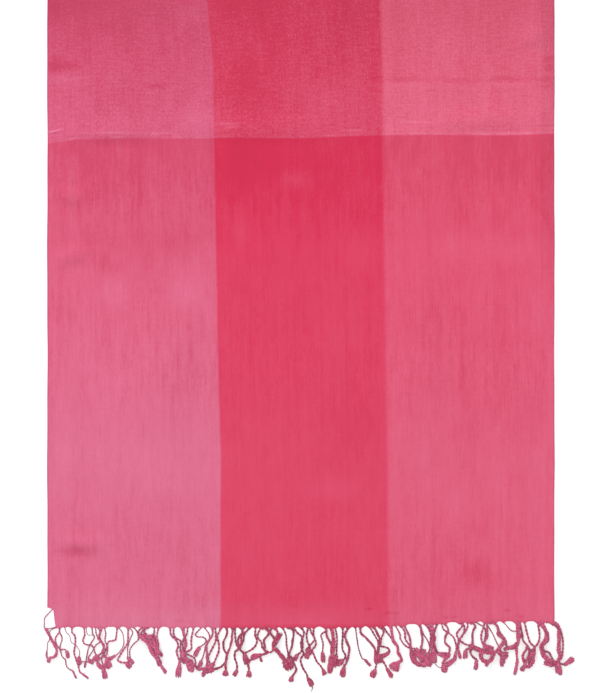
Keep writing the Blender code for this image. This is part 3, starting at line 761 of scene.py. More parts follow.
class Nodes:
    """Short ways to add shader nodes to one material."""

    def __init__(self, name):
        self.material = bpy.data.materials.new(name)
        self.material.use_nodes = True
        self.tree = self.material.node_tree
        self.shader = self.tree.nodes["Principled BSDF"]

    def plug(self, value, socket):
        """Links a socket, or sets a plain value."""
        if isinstance(value, bpy.types.NodeSocket):
            self.tree.links.new(value, socket)
        else:
            socket.default_value = value

    def node(self, kind, **settings):
        """A new node with these settings."""
        made = self.tree.nodes.new(kind)
        for setting, value in settings.items():
            setattr(made, setting, value)
        return made

    def math(self, operation, first, second=0.0, clamp=False):
        made = self.node("ShaderNodeMath", operation=operation, use_clamp=clamp)
        self.plug(first, made.inputs[0])
        self.plug(second, made.inputs[1])
        return made.outputs[0]

    def add(self, first, second, clamp=False):
        return self.math("ADD", first, second, clamp)

    def minus(self, first, second):
        return self.math("SUBTRACT", first, second)

    def times(self, first, second, clamp=False):
        return self.math("MULTIPLY", first, second, clamp)

    def at_points(self, label):
        """A value that the mesh carries at its points."""
        return self.node("ShaderNodeAttribute", attribute_name=label).outputs["Fac"]

    def blend(self, factor, first, second, mode="MIX"):
        made = self.node("ShaderNodeMix", data_type="RGBA", blend_type=mode)
        self.plug(factor, made.inputs[0])
        self.plug(first, made.inputs[6])
        self.plug(second, made.inputs[7])
        return made.outputs[2]

    def noise(self, vector, scale=1.0, detail=2.0, rough=0.5):
        made = self.node("ShaderNodeTexNoise")
        self.plug(vector, made.inputs["Vector"])
        made.inputs["Scale"].default_value = scale
        made.inputs["Detail"].default_value = detail
        made.inputs["Roughness"].default_value = rough
        return made.outputs[0]

    def streaky(self, yarn, across, along, detail=2.0, rough=0.5):
        """Noise that runs at one scale across the yarn and at another along it."""
        made = self.node("ShaderNodeMapping")
        self.plug(yarn, made.inputs["Vector"])
        made.inputs["Scale"].default_value = (across, along, 1)
        return self.noise(made.outputs[0], detail=detail, rough=rough)

    def ramp(self, value, stops):
        """A value read along a line of (place, value) stops, places from 0 to 1."""
        made = self.node("ShaderNodeValToRGB")
        self.plug(value, made.inputs[0])
        elements = made.color_ramp.elements
        while len(elements) > 1:
            elements.remove(elements[-1])
        for index, (place, level) in enumerate(stops):
            element = elements[0] if index == 0 else elements.new(place)
            element.position = place
            element.color = (level, level, level, 1.0)
        return made.outputs[0]

    def rescale(self, value, low, high, to_low, to_high):
        """A value carried evenly from one range to another, and held at its ends."""
        made = self.node("ShaderNodeMapRange")
        self.plug(value, made.inputs[0])
        for place, amount in enumerate((low, high, to_low, to_high), start=1):
            made.inputs[place].default_value = amount
        return made.outputs[0]

    def bump(self, height, strength, distance):
        made = self.node("ShaderNodeBump")
        self.plug(height, made.inputs["Height"])
        made.inputs["Strength"].default_value = strength
        made.inputs["Distance"].default_value = distance
        return made.outputs[0]

    def set_sheen(self, specular, weight, rough, tint):
        """The shader's gloss and sheen, the same all over."""
        self.shader.inputs["Specular IOR Level"].default_value = specular
        self.shader.inputs["Sheen Weight"].default_value = weight
        self.shader.inputs["Sheen Roughness"].default_value = rough
        self.shader.inputs["Sheen Tint"].default_value = tint


def row_share(row):
    """A picture row as a share of the way from the cloth's middle to its hem."""
    return abs(picture_y(row)) / (CLOTH_LENGTH / 2)


# How far the cloth pales from its weft line to its hem, and from the middle to the weft line, by the
# picture's rows, and how bright it is from its middle to its hem. Both are partly the yarn's own tone
# and partly painted sheen and painted shade.
END_PALE_ROWS = ((134.5, 0.0), (175, 0.10), (250, 0.50), (350, 0.74), (450, 1.06), (530, 0.98), (595, 0.95),
                 (612, 1.25), (627, 1.35))
MIDDLE_PALE_ROWS = ((-108, 0.0), (10, 0.06), (60, 0.42), (100, 0.74), (134.5, 1.0))
SHADE_ROWS = ((-108, 0.845), (10, 0.868), (60, 0.95), (100, 0.985), (133.8, 1.0), (135.2, 0.925),
              (170, 0.94), (250, 1.0), (595, 1.0), (612, 0.98), (627, 0.965))
# How strong the yarn's own marks are, by the same rows
MARK_ROWS = ((-108, 0.62), (10, 0.65), (50, 0.62), (80, 0.52), (133.8, 0.52), (135.2, 1.0), (200, 0.88),
             (240, 0.50), (300, 0.60), (350, 0.76), (380, 0.72), (430, 0.54), (500, 0.56), (560, 0.64),
             (627, 0.66))
MARK_GAIN = 1.62
# How strong they are in each band of warp, and how strong the weft's own are in the end bands
MARKS_BY_BAND = (1.0, 0.56, 0.90)
END_WEFT_MARKS = 0.32
# How fast a mark below 0 deepens the yarn, and how much any mark shades it
DEEPENING = 2.6
MARK_SHADE = 0.5
# The pale flecks of the middle band and the deep slubs of all: where in their noise they show, and how
# much
FLECK_FROM = 0.66
FLECK_TO = 0.74
FLECK_PALE = 0.15
SLUB_FROM = 0.60
SLUB_TO = 0.78
SLUB_DEEP = 0.22
# How far the yarns mix where two bands of warp meet, left and right, and how much that edge frays
LEFT_MIX = 0.0014
RIGHT_MIX = 0.0026
FRAYING = 0.003
# The rows between which the two bands of weft change over
WEFT_CHANGE_ROWS = (134.0, 135.1)
# The shade along the selvedges: how far in it starts and is full, and what it leaves
EDGE_START = 0.0024
EDGE_FULL = 0.0008
EDGE_SHADE = 0.86
# The weave's pitch, and how deep the bump of any yarn goes
WEAVE_PITCH = 0.0009
YARN_RELIEF = 0.0003
# The duller strip along the right selvedge: its left edge and how soft that is, in pixels, how dull it
# is, and what share of that it has by the rows
STRIP_PIXEL = 540.8
STRIP_SOFT = 1.2
STRIP_DULL = 0.07
STRIP_ROWS = ((-108, 1.0), (200, 1.0), (300, 0.3), (420, 0.0))
# How strongly each band of warp pales, left, middle and right
END_PALE = (0.150, 0.060, 0.085)
MIDDLE_PALE = (0.080, 0.052, 0.060)
# The painted highlight along the pressed line: the rows where it starts, is full, is still full and
# ends, where in its noise it shows, and how pale it is
PRESSED_HIGHLIGHT_ROWS = (131.2, 132.6, 134.0, 134.6)
PRESSED_HIGHLIGHT_FROM = 0.51
PRESSED_HIGHLIGHT_TO = 0.68
PRESSED_HIGHLIGHT_PALE = 0.062
# The light on the small sharp fold: its rows in the same way, the columns where it starts to fade and is
# gone, the column it turns about, its fall to the right, and how pale it is
GLINT_ROWS = (121.7, 122.5, 122.9, 123.7)
GLINT_FADES = 57
GLINT_ENDS = 65
GLINT_TURNS = 55
GLINT_FALL = 0.14
GLINT_PALE = 0.18


def row_ramp(nodes, from_middle, rows):
    """A value read along (row, value) stops, by the share of the way from the middle to the hem."""
    return nodes.ramp(from_middle, sorted((row_share(row), level) for row, level in rows))


def band_step(nodes, value, edge, softness):
    """0 below the edge and 1 above it, over a soft stretch where the yarns of two bands mix."""
    return nodes.rescale(value, edge - softness, edge + softness, 0.0, 1.0)


def by_band(nodes, left_to_middle, middle_to_right, levels):
    """A value that differs between the three bands of warp."""
    low, middle, high = levels
    first = nodes.add(nodes.times(left_to_middle, middle - low), low)
    return nodes.add(nodes.times(middle_to_right, high - middle), first)


def weighted(nodes, noises):
    """The sum of noises, each less its middle value and times its weight."""
    total = 0.0
    for value, weight in noises:
        part = nodes.times(nodes.minus(value, 0.5), weight)
        total = nodes.add(part, total)
    return total


def between_rows(nodes, from_middle, rows):
    """1 between the two inner of four rows, easing to 0 at the outer ones."""
    start, full, still_full, end = (row_share(row) for row in rows)
    above = nodes.rescale(from_middle, start, full, 0.0, 1.0)
    below = nodes.rescale(from_middle, still_full, end, 1.0, 0.0)
    return nodes.times(above, below)


def pressed_line_highlight(nodes, yarn, from_middle):
    """A painted highlight of the pressed crease that shows here and there along the line where the two
    bands of weft meet.
    """
    patchy = nodes.streaky(yarn, 34, 3, detail=3)
    shown = nodes.rescale(patchy, PRESSED_HIGHLIGHT_FROM, PRESSED_HIGHLIGHT_TO, 0.0, PRESSED_HIGHLIGHT_PALE)
    return nodes.times(between_rows(nodes, from_middle, PRESSED_HIGHLIGHT_ROWS), shown)


def fold_light(nodes, across, from_middle):
    """The light that the small sharp fold catches at the left end of that line: a thin slanting mark."""
    slant = nodes.times(nodes.minus(across, picture_x(GLINT_TURNS)), GLINT_FALL * 2 / CLOTH_LENGTH)
    level = nodes.add(from_middle, slant)
    shown = nodes.rescale(across, picture_x(GLINT_FADES), picture_x(GLINT_ENDS), GLINT_PALE, 0.0)
    return nodes.times(between_rows(nodes, level, GLINT_ROWS), shown)


def cloth_material():
    """The checked cloth. Bands of warp and weft set its colour; slubs, streaks and clouds vary it;
    painted sheen, painted shade and painted highlights along its rows, creases, dents and puckers pale or
    darken it; and a plain weave with thick and thin yarns is its bump."""
    nodes = Nodes("checked_cloth")
    yarn = nodes.node("ShaderNodeUVMap", uv_map="yarn").outputs[0]
    split = nodes.node("ShaderNodeSeparateXYZ")
    nodes.plug(yarn, split.inputs[0])
    across, along = split.outputs[0], split.outputs[1]
    streaks = nodes.streaky(yarn, 520, 26, detail=3, rough=0.65)
    fine = nodes.streaky(yarn, 1000, 120, detail=2)
    patches = nodes.streaky(yarn, 92, 30, detail=3, rough=0.6)
    bands = nodes.streaky(yarn, 170, 5.5, detail=2)
    broad = nodes.streaky(yarn, 34, 2.2, detail=2)
    clouds = nodes.streaky(yarn, 8, 6.4, detail=3)
    pepper = nodes.streaky(yarn, 440, 250, detail=2, rough=0.7)
    picks = nodes.streaky(yarn, 52, 430, detail=2, rough=0.6)

    frayed = nodes.add(across, weighted(nodes, ((fine, FRAYING), (pepper, FRAYING))))
    third = CLOTH_WIDTH / 6
    to_middle = band_step(nodes, frayed, -third, LEFT_MIX)
    to_right = band_step(nodes, frayed, third, RIGHT_MIX)
    from_middle = nodes.math("DIVIDE", nodes.math("ABSOLUTE", along), CLOTH_LENGTH / 2)
    first_row, last_row = WEFT_CHANGE_ROWS
    end_band = nodes.rescale(from_middle, row_share(last_row), row_share(first_row), 1.0, 0.0)
    middle_band = nodes.minus(1.0, end_band)

    ends = nodes.times(row_ramp(nodes, from_middle, END_PALE_ROWS),
                       by_band(nodes, to_middle, to_right, END_PALE))
    middle = nodes.times(row_ramp(nodes, from_middle, MIDDLE_PALE_ROWS),
                         by_band(nodes, to_middle, to_right, MIDDLE_PALE))
    paleness = nodes.add(nodes.times(ends, end_band), nodes.times(middle, middle_band))
    # The middle band's weft is another yarn: it shows as pepper and as short marks across.
    warp_marks = weighted(nodes, ((streaks, 0.105), (fine, 0.06), (patches, 0.075), (bands, 0.055),
                                  (broad, 0.055), (clouds, 0.065)))
    weft_marks = weighted(nodes, ((pepper, 0.16), (picks, 0.09)))
    marks = nodes.add(warp_marks, nodes.times(weft_marks, nodes.add(middle_band, END_WEFT_MARKS)))
    quiet = by_band(nodes, to_middle, to_right, MARKS_BY_BAND)
    marks = nodes.times(marks, nodes.math("MAXIMUM", quiet, middle_band))
    gain = nodes.times(row_ramp(nodes, from_middle, MARK_ROWS), MARK_GAIN)
    marks = nodes.times(marks, gain)
    # Painted highlights along the pressed line and on the small sharp fold join the marks, and so do the
    # soft areas, some of which are painted shade and light of creases, dents and puckers.
    marks = nodes.add(marks, pressed_line_highlight(nodes, yarn, from_middle))
    marks = nodes.add(marks, fold_light(nodes, across, from_middle))
    marks = nodes.add(marks, nodes.at_points("pale"))
    flecks = nodes.streaky(yarn, 640, 430, detail=1)
    flecks = nodes.times(nodes.rescale(flecks, FLECK_FROM, FLECK_TO, 0.0, FLECK_PALE), middle_band)
    marks = nodes.add(marks, flecks)

    warps = nodes.blend(to_right, nodes.blend(to_middle, PINK_WARP, RED_WARP), RIGHT_PINK_WARP)
    dark_warps = nodes.blend(to_middle, PINK_OVER_DARK, RED_OVER_DARK)
    dark_warps = nodes.blend(to_right, dark_warps, RIGHT_PINK_OVER_DARK)
    colour = nodes.blend(middle_band, warps, dark_warps)
    colour = nodes.blend(nodes.add(paleness, marks, clamp=True), colour, PALE_YARN_AND_HIGHLIGHT)
    deeper = nodes.times(marks, -DEEPENING, clamp=True)
    colour = nodes.blend(deeper, colour, DEEP_YARN_AND_SHADE)
    slubs = nodes.streaky(yarn, 760, 30, detail=2, rough=0.65)
    colour = nodes.blend(nodes.rescale(slubs, SLUB_FROM, SLUB_TO, 0.0, SLUB_DEEP), colour, DEEP_YARN_AND_SHADE)

    shade = row_ramp(nodes, from_middle, SHADE_ROWS)
    half = CLOTH_WIDTH / 2
    from_warp_middle = nodes.math("ABSOLUTE", across)
    edge = nodes.rescale(from_warp_middle, half - EDGE_START, half - EDGE_FULL, 1.0, EDGE_SHADE)
    strip_edge = picture_x(STRIP_PIXEL)
    strip = nodes.rescale(across, strip_edge, picture_x(STRIP_PIXEL + STRIP_SOFT), 0.0, STRIP_DULL)
    strip = nodes.times(strip, row_ramp(nodes, from_middle, STRIP_ROWS))
    shade = nodes.times(nodes.times(shade, edge), nodes.minus(1.0, strip))
    shade = nodes.times(shade, nodes.add(nodes.times(marks, MARK_SHADE), 1.0))
    colour = nodes.blend(1.0, colour, shade, mode="MULTIPLY")
    nodes.plug(colour, nodes.shader.inputs["Base Color"])

    weave = plain_weave(nodes, across, along)
    relief = nodes.add(nodes.times(weave, 0.25), nodes.times(streaks, 0.9))
    relief = nodes.add(relief, nodes.times(fine, 0.5))
    relief = nodes.add(relief, nodes.times(nodes.times(pepper, middle_band), 0.9))
    nodes.plug(nodes.bump(relief, 0.4, YARN_RELIEF), nodes.shader.inputs["Normal"])
    nodes.plug(nodes.rescale(streaks, 0.2, 0.8, 0.62, 0.80), nodes.shader.inputs["Roughness"])
    nodes.set_sheen(0.22, 0.10, 0.45, (1.0, 0.80, 0.85, 1.0))
    return nodes.material


def plain_weave(nodes, across, along):
    """A plain weave's height: the product of a wave across and a wave along, each one pitch long."""
    over = nodes.math("SINE", nodes.times(across, 2 * math.pi / WEAVE_PITCH))
    under = nodes.math("SINE", nodes.times(along, 2 * math.pi / WEAVE_PITCH))
    return nodes.times(over, under)


def cord_material():
    """Twisted yarn, red or pink by the band it grows from, with a painted highlight along its crown and
    painted shade at its sides and in its grooves, and a little different from cord to cord."""
    nodes = Nodes("fringe_yarn")
    tone = nodes.at_points("tone")
    band = nodes.at_points("band")
    crown = nodes.at_points("crown")
    place = nodes.node("ShaderNodeTexCoord").outputs["Object"]
    fibres = nodes.noise(place, scale=1500, detail=2, rough=0.6)
    tufts = nodes.noise(place, scale=420, detail=2)
    colour = nodes.blend(band, FRINGE_PINK, FRINGE_RED)
    # Painted shade at each cord's sides and underneath: deep on bright cords, dusky on dull ones.
    shadow = nodes.blend(tone, FRINGE_SIDE_SHADE, FRINGE_DUSK)
    colour = nodes.blend(nodes.times(tone, 0.76), colour, FRINGE_DUSK)
    colour = nodes.blend(nodes.rescale(crown, 0.0, 0.75, 0.55, 0.0), colour, shadow)
    # A painted highlight along the crown, with the fibres' and tufts' own paler flecks, less on dull cords.
    light = nodes.add(nodes.rescale(crown, 0.35, 1.0, 0.0, 0.22),
                      weighted(nodes, ((fibres, 0.45), (tufts, 0.5))), clamp=True)
    light = nodes.times(light, nodes.rescale(tone, 0.2, 1.0, 1.0, 0.5))
    colour = nodes.blend(light, colour, PALE_YARN_AND_HIGHLIGHT)
    nodes.plug(colour, nodes.shader.inputs["Base Color"])
    nodes.plug(nodes.bump(fibres, 0.5, YARN_RELIEF), nodes.shader.inputs["Normal"])
    nodes.plug(nodes.rescale(fibres, 0.2, 0.8, 0.72, 0.92), nodes.shader.inputs["Roughness"])
    nodes.set_sheen(0.2, 0.2, 0.5, (1.0, 0.8, 0.86, 1.0))
    return nodes.material


def floor_material():
    """A plain pale surface, all but flat."""
    nodes = Nodes("pale_floor")
    place = nodes.node("ShaderNodeTexCoord").outputs["Object"]
    grain = nodes.noise(place, scale=60, detail=2)
    nodes.plug(nodes.rescale(grain, 0.3, 0.7, 0.88, 0.92), nodes.shader.inputs["Roughness"])
    nodes.shader.inputs["Base Color"].default_value = FLOOR_WHITE
    return nodes.material


# Rows of the cloth's grid: from each place on, up to the next, the rows are this far apart.
ROW_STEPS = ((-1.015, 0.0015), (-0.985, 0.0048), (-0.362, 0.0024), (-0.350, 0.0012), (-0.318, 0.0024),
             (-0.238, 0.0050), (-0.100, 0.0100), (1.015, 0.0100))
COLUMN_COUNT = 137
# How far the selvedges sway, slowly and quickly
SLOW_SWAY = 0.0005
QUICK_SWAY = 0.0003


def row_places():
    """Y of every row of the cloth's grid."""
    places = []
    for (start, step), (end, _) in zip(ROW_STEPS, ROW_STEPS[1:]):
        places.append(np.linspace(start, end, max(2, round((end - start) / step)), endpoint=False))
    return np.concatenate([*places, [CLOTH_LENGTH / 2]])


def make_cloth(material):
    """The cloth's upper face is a grid between the hems and the selvedges, lifted into its folds, and
    its lower face is a shell's thickness below."""
    rows = row_places()[:, None]
    shares = np.linspace(0.0, 1.0, COLUMN_COUNT)[None, :]
    left = left_edge(rows)
    x = left + (CLOTH_WIDTH / 2 - left) * shares
    along = (rows + CLOTH_LENGTH / 2) / CLOTH_LENGTH
    rise_near = hem(x) + CLOTH_LENGTH / 2
    rise_far = hem(-x) + CLOTH_LENGTH / 2
    y = rows + rise_near * (1 - along) - rise_far * along
    # The selvedges sway in and out, and the cloth between them next to nothing.
    sway = SLOW_SWAY * np.sin(rows * 23 + 0.8) + QUICK_SWAY * np.sin(rows * 61)
    x = x + 0.5 * sway * (2 * np.abs(shares - 0.5)) ** 6 * np.sign(shares - 0.5)
    z = np.maximum(WALL + lift(x, y), SHELL + FLOOR_CLEARANCE)
    cloth = make_shell("stole_cloth", x, y, z, paleness_at(x, y), SHELL)
    cloth.data.materials.append(material)
    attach(cloth, BODY)
    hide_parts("cloth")
    return cloth


def turned(points, turn):
    """Points of the near end, or the same turned half round to the far end."""
    return points * np.array([turn, turn, 1.0])


# The hem strip: its grid, how far it is tucked in above the hem, how far below the cloth's face it
# starts, how much further its lip sinks, its thickness, and how much painted shade darkens its lip
HEADER_COLUMNS = 1100
HEADER_ROWS = 7
HEADER_TUCK = 0.0006
HEADER_DROP = 0.00002
HEADER_SINK = 0.00035
HEADER_SHELL = 0.0009
HEADER_LIP_SHADE = 0.055
# Its lip's depth, the least width and depth of the point it is drawn into at a cord's root, and how
# sharp that point is
LIP_DEPTH = 0.0029
ROOT_WIDTH = 0.0042
ROOT_PULL = 0.0014
ROOT_POWER = 1.9


def hem_depth(x, roots, rng):
    """How far the hem strip hangs below the hem at x: a thin even lip, drawn down in a point at each
    cord's root, the wider and deeper the thicker the cord."""
    depth = LIP_DEPTH + 0.00025 * np.sin(x * 900) + 0.0002 * np.sin(x * 2300)
    for root_x, thick in roots:
        near = np.clip(1 - np.abs(x - root_x) / (ROOT_WIDTH + thick), 0, 1)
        pull = ROOT_PULL + 0.95 * thick + rng.uniform(-0.0005, 0.0008)
        depth = np.maximum(depth, LIP_DEPTH + pull * near ** ROOT_POWER)
    return depth


def make_header(name, turn, roots, material, rng):
    """The hem strip: a fine grid from just inside the hem to its scalloped lower edge. It starts a
    hair below the cloth's face and sinks towards its lip."""
    x = np.linspace(left_edge(np.array(-CLOTH_LENGTH / 2)), CLOTH_WIDTH / 2, HEADER_COLUMNS)[None, :]
    shares = np.linspace(0.0, 1.0, HEADER_ROWS)[:, None]
    start = hem(x) + HEADER_TUCK
    y = start - (hem_depth(x, roots, rng) + HEADER_TUCK) * shares
    z = WALL - HEADER_DROP - HEADER_SINK * shares ** 2 + 0 * x
    x = x + 0 * shares
    # Painted shade darkens the strip towards its lip.
    pale = -HEADER_LIP_SHADE * shares ** 2 + 0 * x
    x, y, z, pale = (grid[::-1] for grid in (x, y, z, pale))
    header = make_shell(name, x, y, z, pale, HEADER_SHELL, turn)
    header.data.materials.append(material)
    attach(header, BODY)
    return header


def curve_through(points, step):
    """A smooth line through the points, sampled every step: on each stretch a cubic whose slopes at
    its ends are half the way from the point before to the point after."""
    before = np.vstack([2 * points[0] - points[1], points[:-1]])
    after = np.vstack([points[1:], 2 * points[-1] - points[-2]])
    slopes = (after - before) / 2
    pieces = []
    for index in range(len(points) - 1):
        start, end = points[index], points[index + 1]
        count = max(2, round(float(np.linalg.norm(end - start)) / step))
        t = np.linspace(0.0, 1.0, count, endpoint=False)[:, None]
        pieces.append(start * (2 * t**3 - 3 * t**2 + 1) + slopes[index] * (t**3 - 2 * t**2 + t)
                      + end * (3 * t**2 - 2 * t**3) + slopes[index + 1] * (t**3 - t**2))
    return np.vstack([*pieces, points[-1:]])


def metres(route):
    """A route in picture pixels, as points in metres on the plane."""
    pixels = np.array(route, dtype=float)
    return np.stack([picture_x(pixels[:, 0]), picture_y(pixels[:, 1])], axis=1)


def softened(values, reach):
    """Values along a line, each averaged with its neighbours by a bell of this reach."""
    window = np.exp(-np.linspace(-2, 2, 2 * reach + 1) ** 2)
    padded = np.pad(values, reach, mode="edge")
    return np.convolve(padded, window / window.sum(), mode="valid")


# A cord sinks between the round sides of those it crosses, to this share of the full reach, and its
# climb is eased over so many rings on either side.
SINK = 0.8
EASING = 5


def pile_up(lines, radii):
    """Heights of the cords' centre lines. They are laid down one by one: a point rests on the floor,
    or on the cords already there by as much as their round sides overlap, and the climb is eased."""
    laid, heights = np.empty((0, 4)), []
    for line, radius in zip(lines, radii):
        height = np.full(len(line), radius + FLOOR_CLEARANCE)
        if len(laid):
            gap = np.hypot(line[:, None, 0] - laid[None, :, 0], line[:, None, 1] - laid[None, :, 1])
            reach = SINK * (radius + laid[None, :, 3])
            over = laid[None, :, 2] + np.sqrt(np.clip(reach**2 - gap**2, 0.0, None))
            height = np.maximum(height, np.where(gap < reach, over, 0.0).max(axis=1))
        height = np.minimum(softened(height, EASING), PILE_LIMIT)
        height = np.maximum(height, radius + FLOOR_CLEARANCE)
        heights.append(height)
        rows = np.column_stack([line, height, np.full(len(line), radius)])
        laid = np.vstack([laid, rows])
    return heights


def sides_of(line):
    """Across and up directions at each point of a line in space, both square to its run."""
    run = np.gradient(line, axis=0)
    run /= np.linalg.norm(run, axis=1, keepdims=True) + 1e-12
    up = np.array([0.0, 0.0, 1.0]) - run * run[:, 2:3]
    up /= np.linalg.norm(up, axis=1, keepdims=True)
    return np.cross(run, up), up


def along_line(line):
    """Distance travelled at each point of a line."""
    return np.concatenate([[0.0], np.cumsum(np.linalg.norm(np.diff(line, axis=0), axis=1))])


def ring_points(line, radii, sides, lobes=1.0, flat=1.0):
    """Rings of so many points about a line, with their crown values: 1 on top, 0 underneath, less in
    the grooves; the cords' colour paints highlight and shade by them. Lobes scales each ring point's reach;
    flat squeezes the rings upwards and down."""
    across, up = sides_of(line)
    angle = np.arange(sides) * 2 * math.pi / sides
    reach = radii[:, None] * lobes + 0 * angle[None, :]
    rings = (line[:, None, :] + across[:, None, :] * (reach * np.cos(angle))[:, :, None]
             + up[:, None, :] * (flat * reach * np.sin(angle))[:, :, None])
    rings[:, :, 2] = np.maximum(rings[:, :, 2], FLOOR_CLEARANCE)
    crown = (0.5 + 0.5 * np.sin(angle))[None, :] * (reach / reach.max(axis=1, keepdims=True)) ** 2
    return rings, crown


# The crown value at the closing point of a tube's end, which sets how much painted highlight and painted
# shade it has
END_CROWN = 0.4


class Heap:
    """Tubes gathered into one mesh, with tone, band and crown values for each point."""

    def __init__(self):
        self.points, self.faces, self.count = [], [], 0
        self.values = {"tone": [], "band": [], "crown": []}

    def add_tube(self, rings, crown, tone, band):
        """Adds rings n x sides x 3 as a tube, each end closed by a point at its middle."""
        count, sides, _ = rings.shape
        ends = np.stack([rings[0].mean(axis=0), rings[-1].mean(axis=0)])
        self.points.append(np.vstack([rings.reshape(-1, 3), ends]))
        self.faces.append(tube_faces(count, sides, self.count))
        side = np.arange(sides)
        after = (side + 1) % sides
        first, last = self.count + count * sides, self.count + count * sides + 1
        top = self.count + (count - 1) * sides
        self.faces.append(np.stack([np.full(sides, first), self.count + after, self.count + side], axis=1))
        self.faces.append(np.stack([np.full(sides, last), top + side, top + after], axis=1))
        total = count * sides + 2
        self.values["tone"].append(np.full(total, tone))
        self.values["band"].append(np.full(total, band))
        self.values["crown"].append(np.concatenate([crown.ravel(), [END_CROWN, END_CROWN]]))
        self.count += total

    def piece(self, name, turn, material):
        """The tubes as one piece of the fringe."""
        points = turned(np.vstack(self.points), turn)
        floats = {label: np.concatenate(values) for label, values in self.values.items()}
        piece = build_mesh(name, points, self.faces, floats=floats)
        piece.data.materials.append(material)
        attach(piece, BODY)
        return piece


def add_cord(heap, line, radii, tone, band):
    """A two-ply cord: each ring is a figure with two lobes, turned on a little from the last, so that
    the lobes run round the cord as its plies do."""
    turn = tone * 6 + 2 * math.pi * along_line(line) / (PLY_PITCH * 2 * np.mean(radii))
    angle = np.arange(RING_SIDES) * 2 * math.pi / RING_SIDES
    lobes = 1 - PLY_LOBE + PLY_LOBE * np.cos(2 * (angle[None, :] - turn[:, None]))
    heap.add_tube(*ring_points(line, radii, RING_SIDES, lobes), tone, band)


def add_bundle(heap, line, radii, tone, band, rng):
    """A thick cord: thinner ones that wind about its line, loosely and unevenly. The thicker it is, the
    more of them, and the flatter they lie."""
    across, up = sides_of(line)
    travelled = along_line(line)
    mean = float(np.mean(radii))
    count = int(np.clip(round(mean / (FUZZ * BUNDLE_PLY)), 3, 6))
    pace = 2 * math.pi / (BUNDLE_PITCH * 2 * mean)
    ply = PLY_SHARE * math.sqrt(3 / count)
    for index in range(count):
        turn = 2 * math.pi * index / count + pace * travelled + 0.6 * np.sin(travelled * 190 + index * 2)
        away = (1 - ply) * radii * (1 + 0.2 * np.sin(travelled * 310 + index))
        rise = ROUND_RISE if count == 3 else FLAT_RISE
        offset = across * (away * np.cos(turn))[:, None] + up * (rise * away * np.sin(turn))[:, None]
        strand = line + offset + rng.normal(0, 0.00008, line.shape)
        add_cord(heap, strand, radii * ply, min(1.0, tone * rng.uniform(0.7, 1.3)), band)


# How far the red warp's cords mix with the pink, in metres, and how red the right pink warp's are
BAND_MIX = 0.006
RIGHT_BAND = 0.35


def band_at(x):
    """1 where the cords are the red warp's, 0 where they are the left pink warp's, and a little red
    where they are the right pink warp's, at this X."""
    third = CLOTH_WIDTH / 6
    return max(float(smooth((third - abs(x)) / BAND_MIX + 0.5)), RIGHT_BAND if x > 0 else 0.0)


# How dull a cord is: the thinnest's, how many mm of thickness take off 1, what the red warp adds, how
# much cords differ, and the most
DULLEST = 0.97
THICKNESS_OF_ONE = 4.4
RED_DULLS = 0.24
TONE_SPREAD = 0.16
TONE_LIMIT = 0.85


def cord_tone(strand, band, rng):
    """How dull a cord is: the thinner and the redder the duller, give or take."""
    tone = DULLEST - strand.thick / THICKNESS_OF_ONE + RED_DULLS * math.sqrt(band)
    return float(np.clip(tone + rng.normal(0, TONE_SPREAD), 0.0, TONE_LIMIT))


# The outline of a tassel's knot and of one of its locks, from top to tip, the sides they have, the
# widest knot and how far it sits above the cord's end, the width that one lock takes up, and the loose
# fibres with their radius and their lowest height
KNOT_WIDTHS = (0.34, 0.72, 0.96, 1.0, 0.94, 1.0, 0.86, 0.5)
KNOT_SIDES = 10
KNOT_LIMIT = 0.0068
KNOT_ABOVE = 0.0004
LOCK_WIDTHS = (0.55, 0.85, 1.0, 1.05, 1.0, 0.9, 0.72, 0.36)
LOCK_SIDES = 6
LOCK_SPACING = 0.00070
TASSEL_FIBRES = 12
FIBRE_RADIUS = 0.00017
FIBRE_LOWEST = 0.0005


def add_tassel(heap, top, tip, width, height, tone, band, rng):
    """A tassel: a lumpy knot, and out of it a bunch of locks that spread, curl and end unevenly, with
    loose fibres between them."""
    length = float(np.linalg.norm(tip - top))
    run = (tip - top) / max(length, 1e-6)
    side = np.array([-run[1], run[0]])
    heart = min(width, KNOT_LIMIT)
    knot = min(0.55 * length, 1.1 * heart)
    shares = np.linspace(0.0, 1.0, len(KNOT_WIDTHS))
    wander = side * rng.normal(0, 0.05 * heart, len(shares))[:, None]
    flat = top + run * (shares * knot - KNOT_ABOVE)[:, None] + wander
    radii = np.array(KNOT_WIDTHS) * 0.40 * heart * (1 + rng.normal(0, 0.05, len(shares)))
    centre = np.maximum(height, radii * 0.8 + FLOOR_CLEARANCE)
    lumps = 1 + rng.normal(0, 0.10, (len(shares), KNOT_SIDES))
    heap.add_tube(*ring_points(np.column_stack([flat, centre]), radii, KNOT_SIDES, lumps, 0.8), tone, band)
    count = int(np.clip(round(width / LOCK_SPACING), 5, 14))
    for index in range(count):
        spread = 2 * (index + 0.5) / count - 1 + rng.normal(0, 0.12)
        far = length * (1 - 0.08 * min(spread * spread, 1.0)) * rng.uniform(0.86, 1.03)
        start = top + run * knot * rng.uniform(0.2, 0.6) + side * spread * width * 0.17
        end = top + run * far + side * spread * width * rng.uniform(0.33, 0.46)
        bow = side * width * (0.06 * spread + rng.normal(0, 0.05)) + run * rng.normal(0, 0.05) * length
        add_lock(heap, start, end, bow, heart * rng.uniform(0.11, 0.17), centre.max(), tone, band, rng)
    for _ in range(TASSEL_FIBRES):
        start = top + run * length * rng.uniform(0.2, 0.95) + side * width * rng.uniform(-0.4, 0.4)
        heading = run * rng.uniform(0.2, 1.0) + side * rng.normal(0, 0.7)
        add_fibre(heap, start, heading * rng.uniform(0.0012, 0.0036), centre.max(), tone, band, rng)


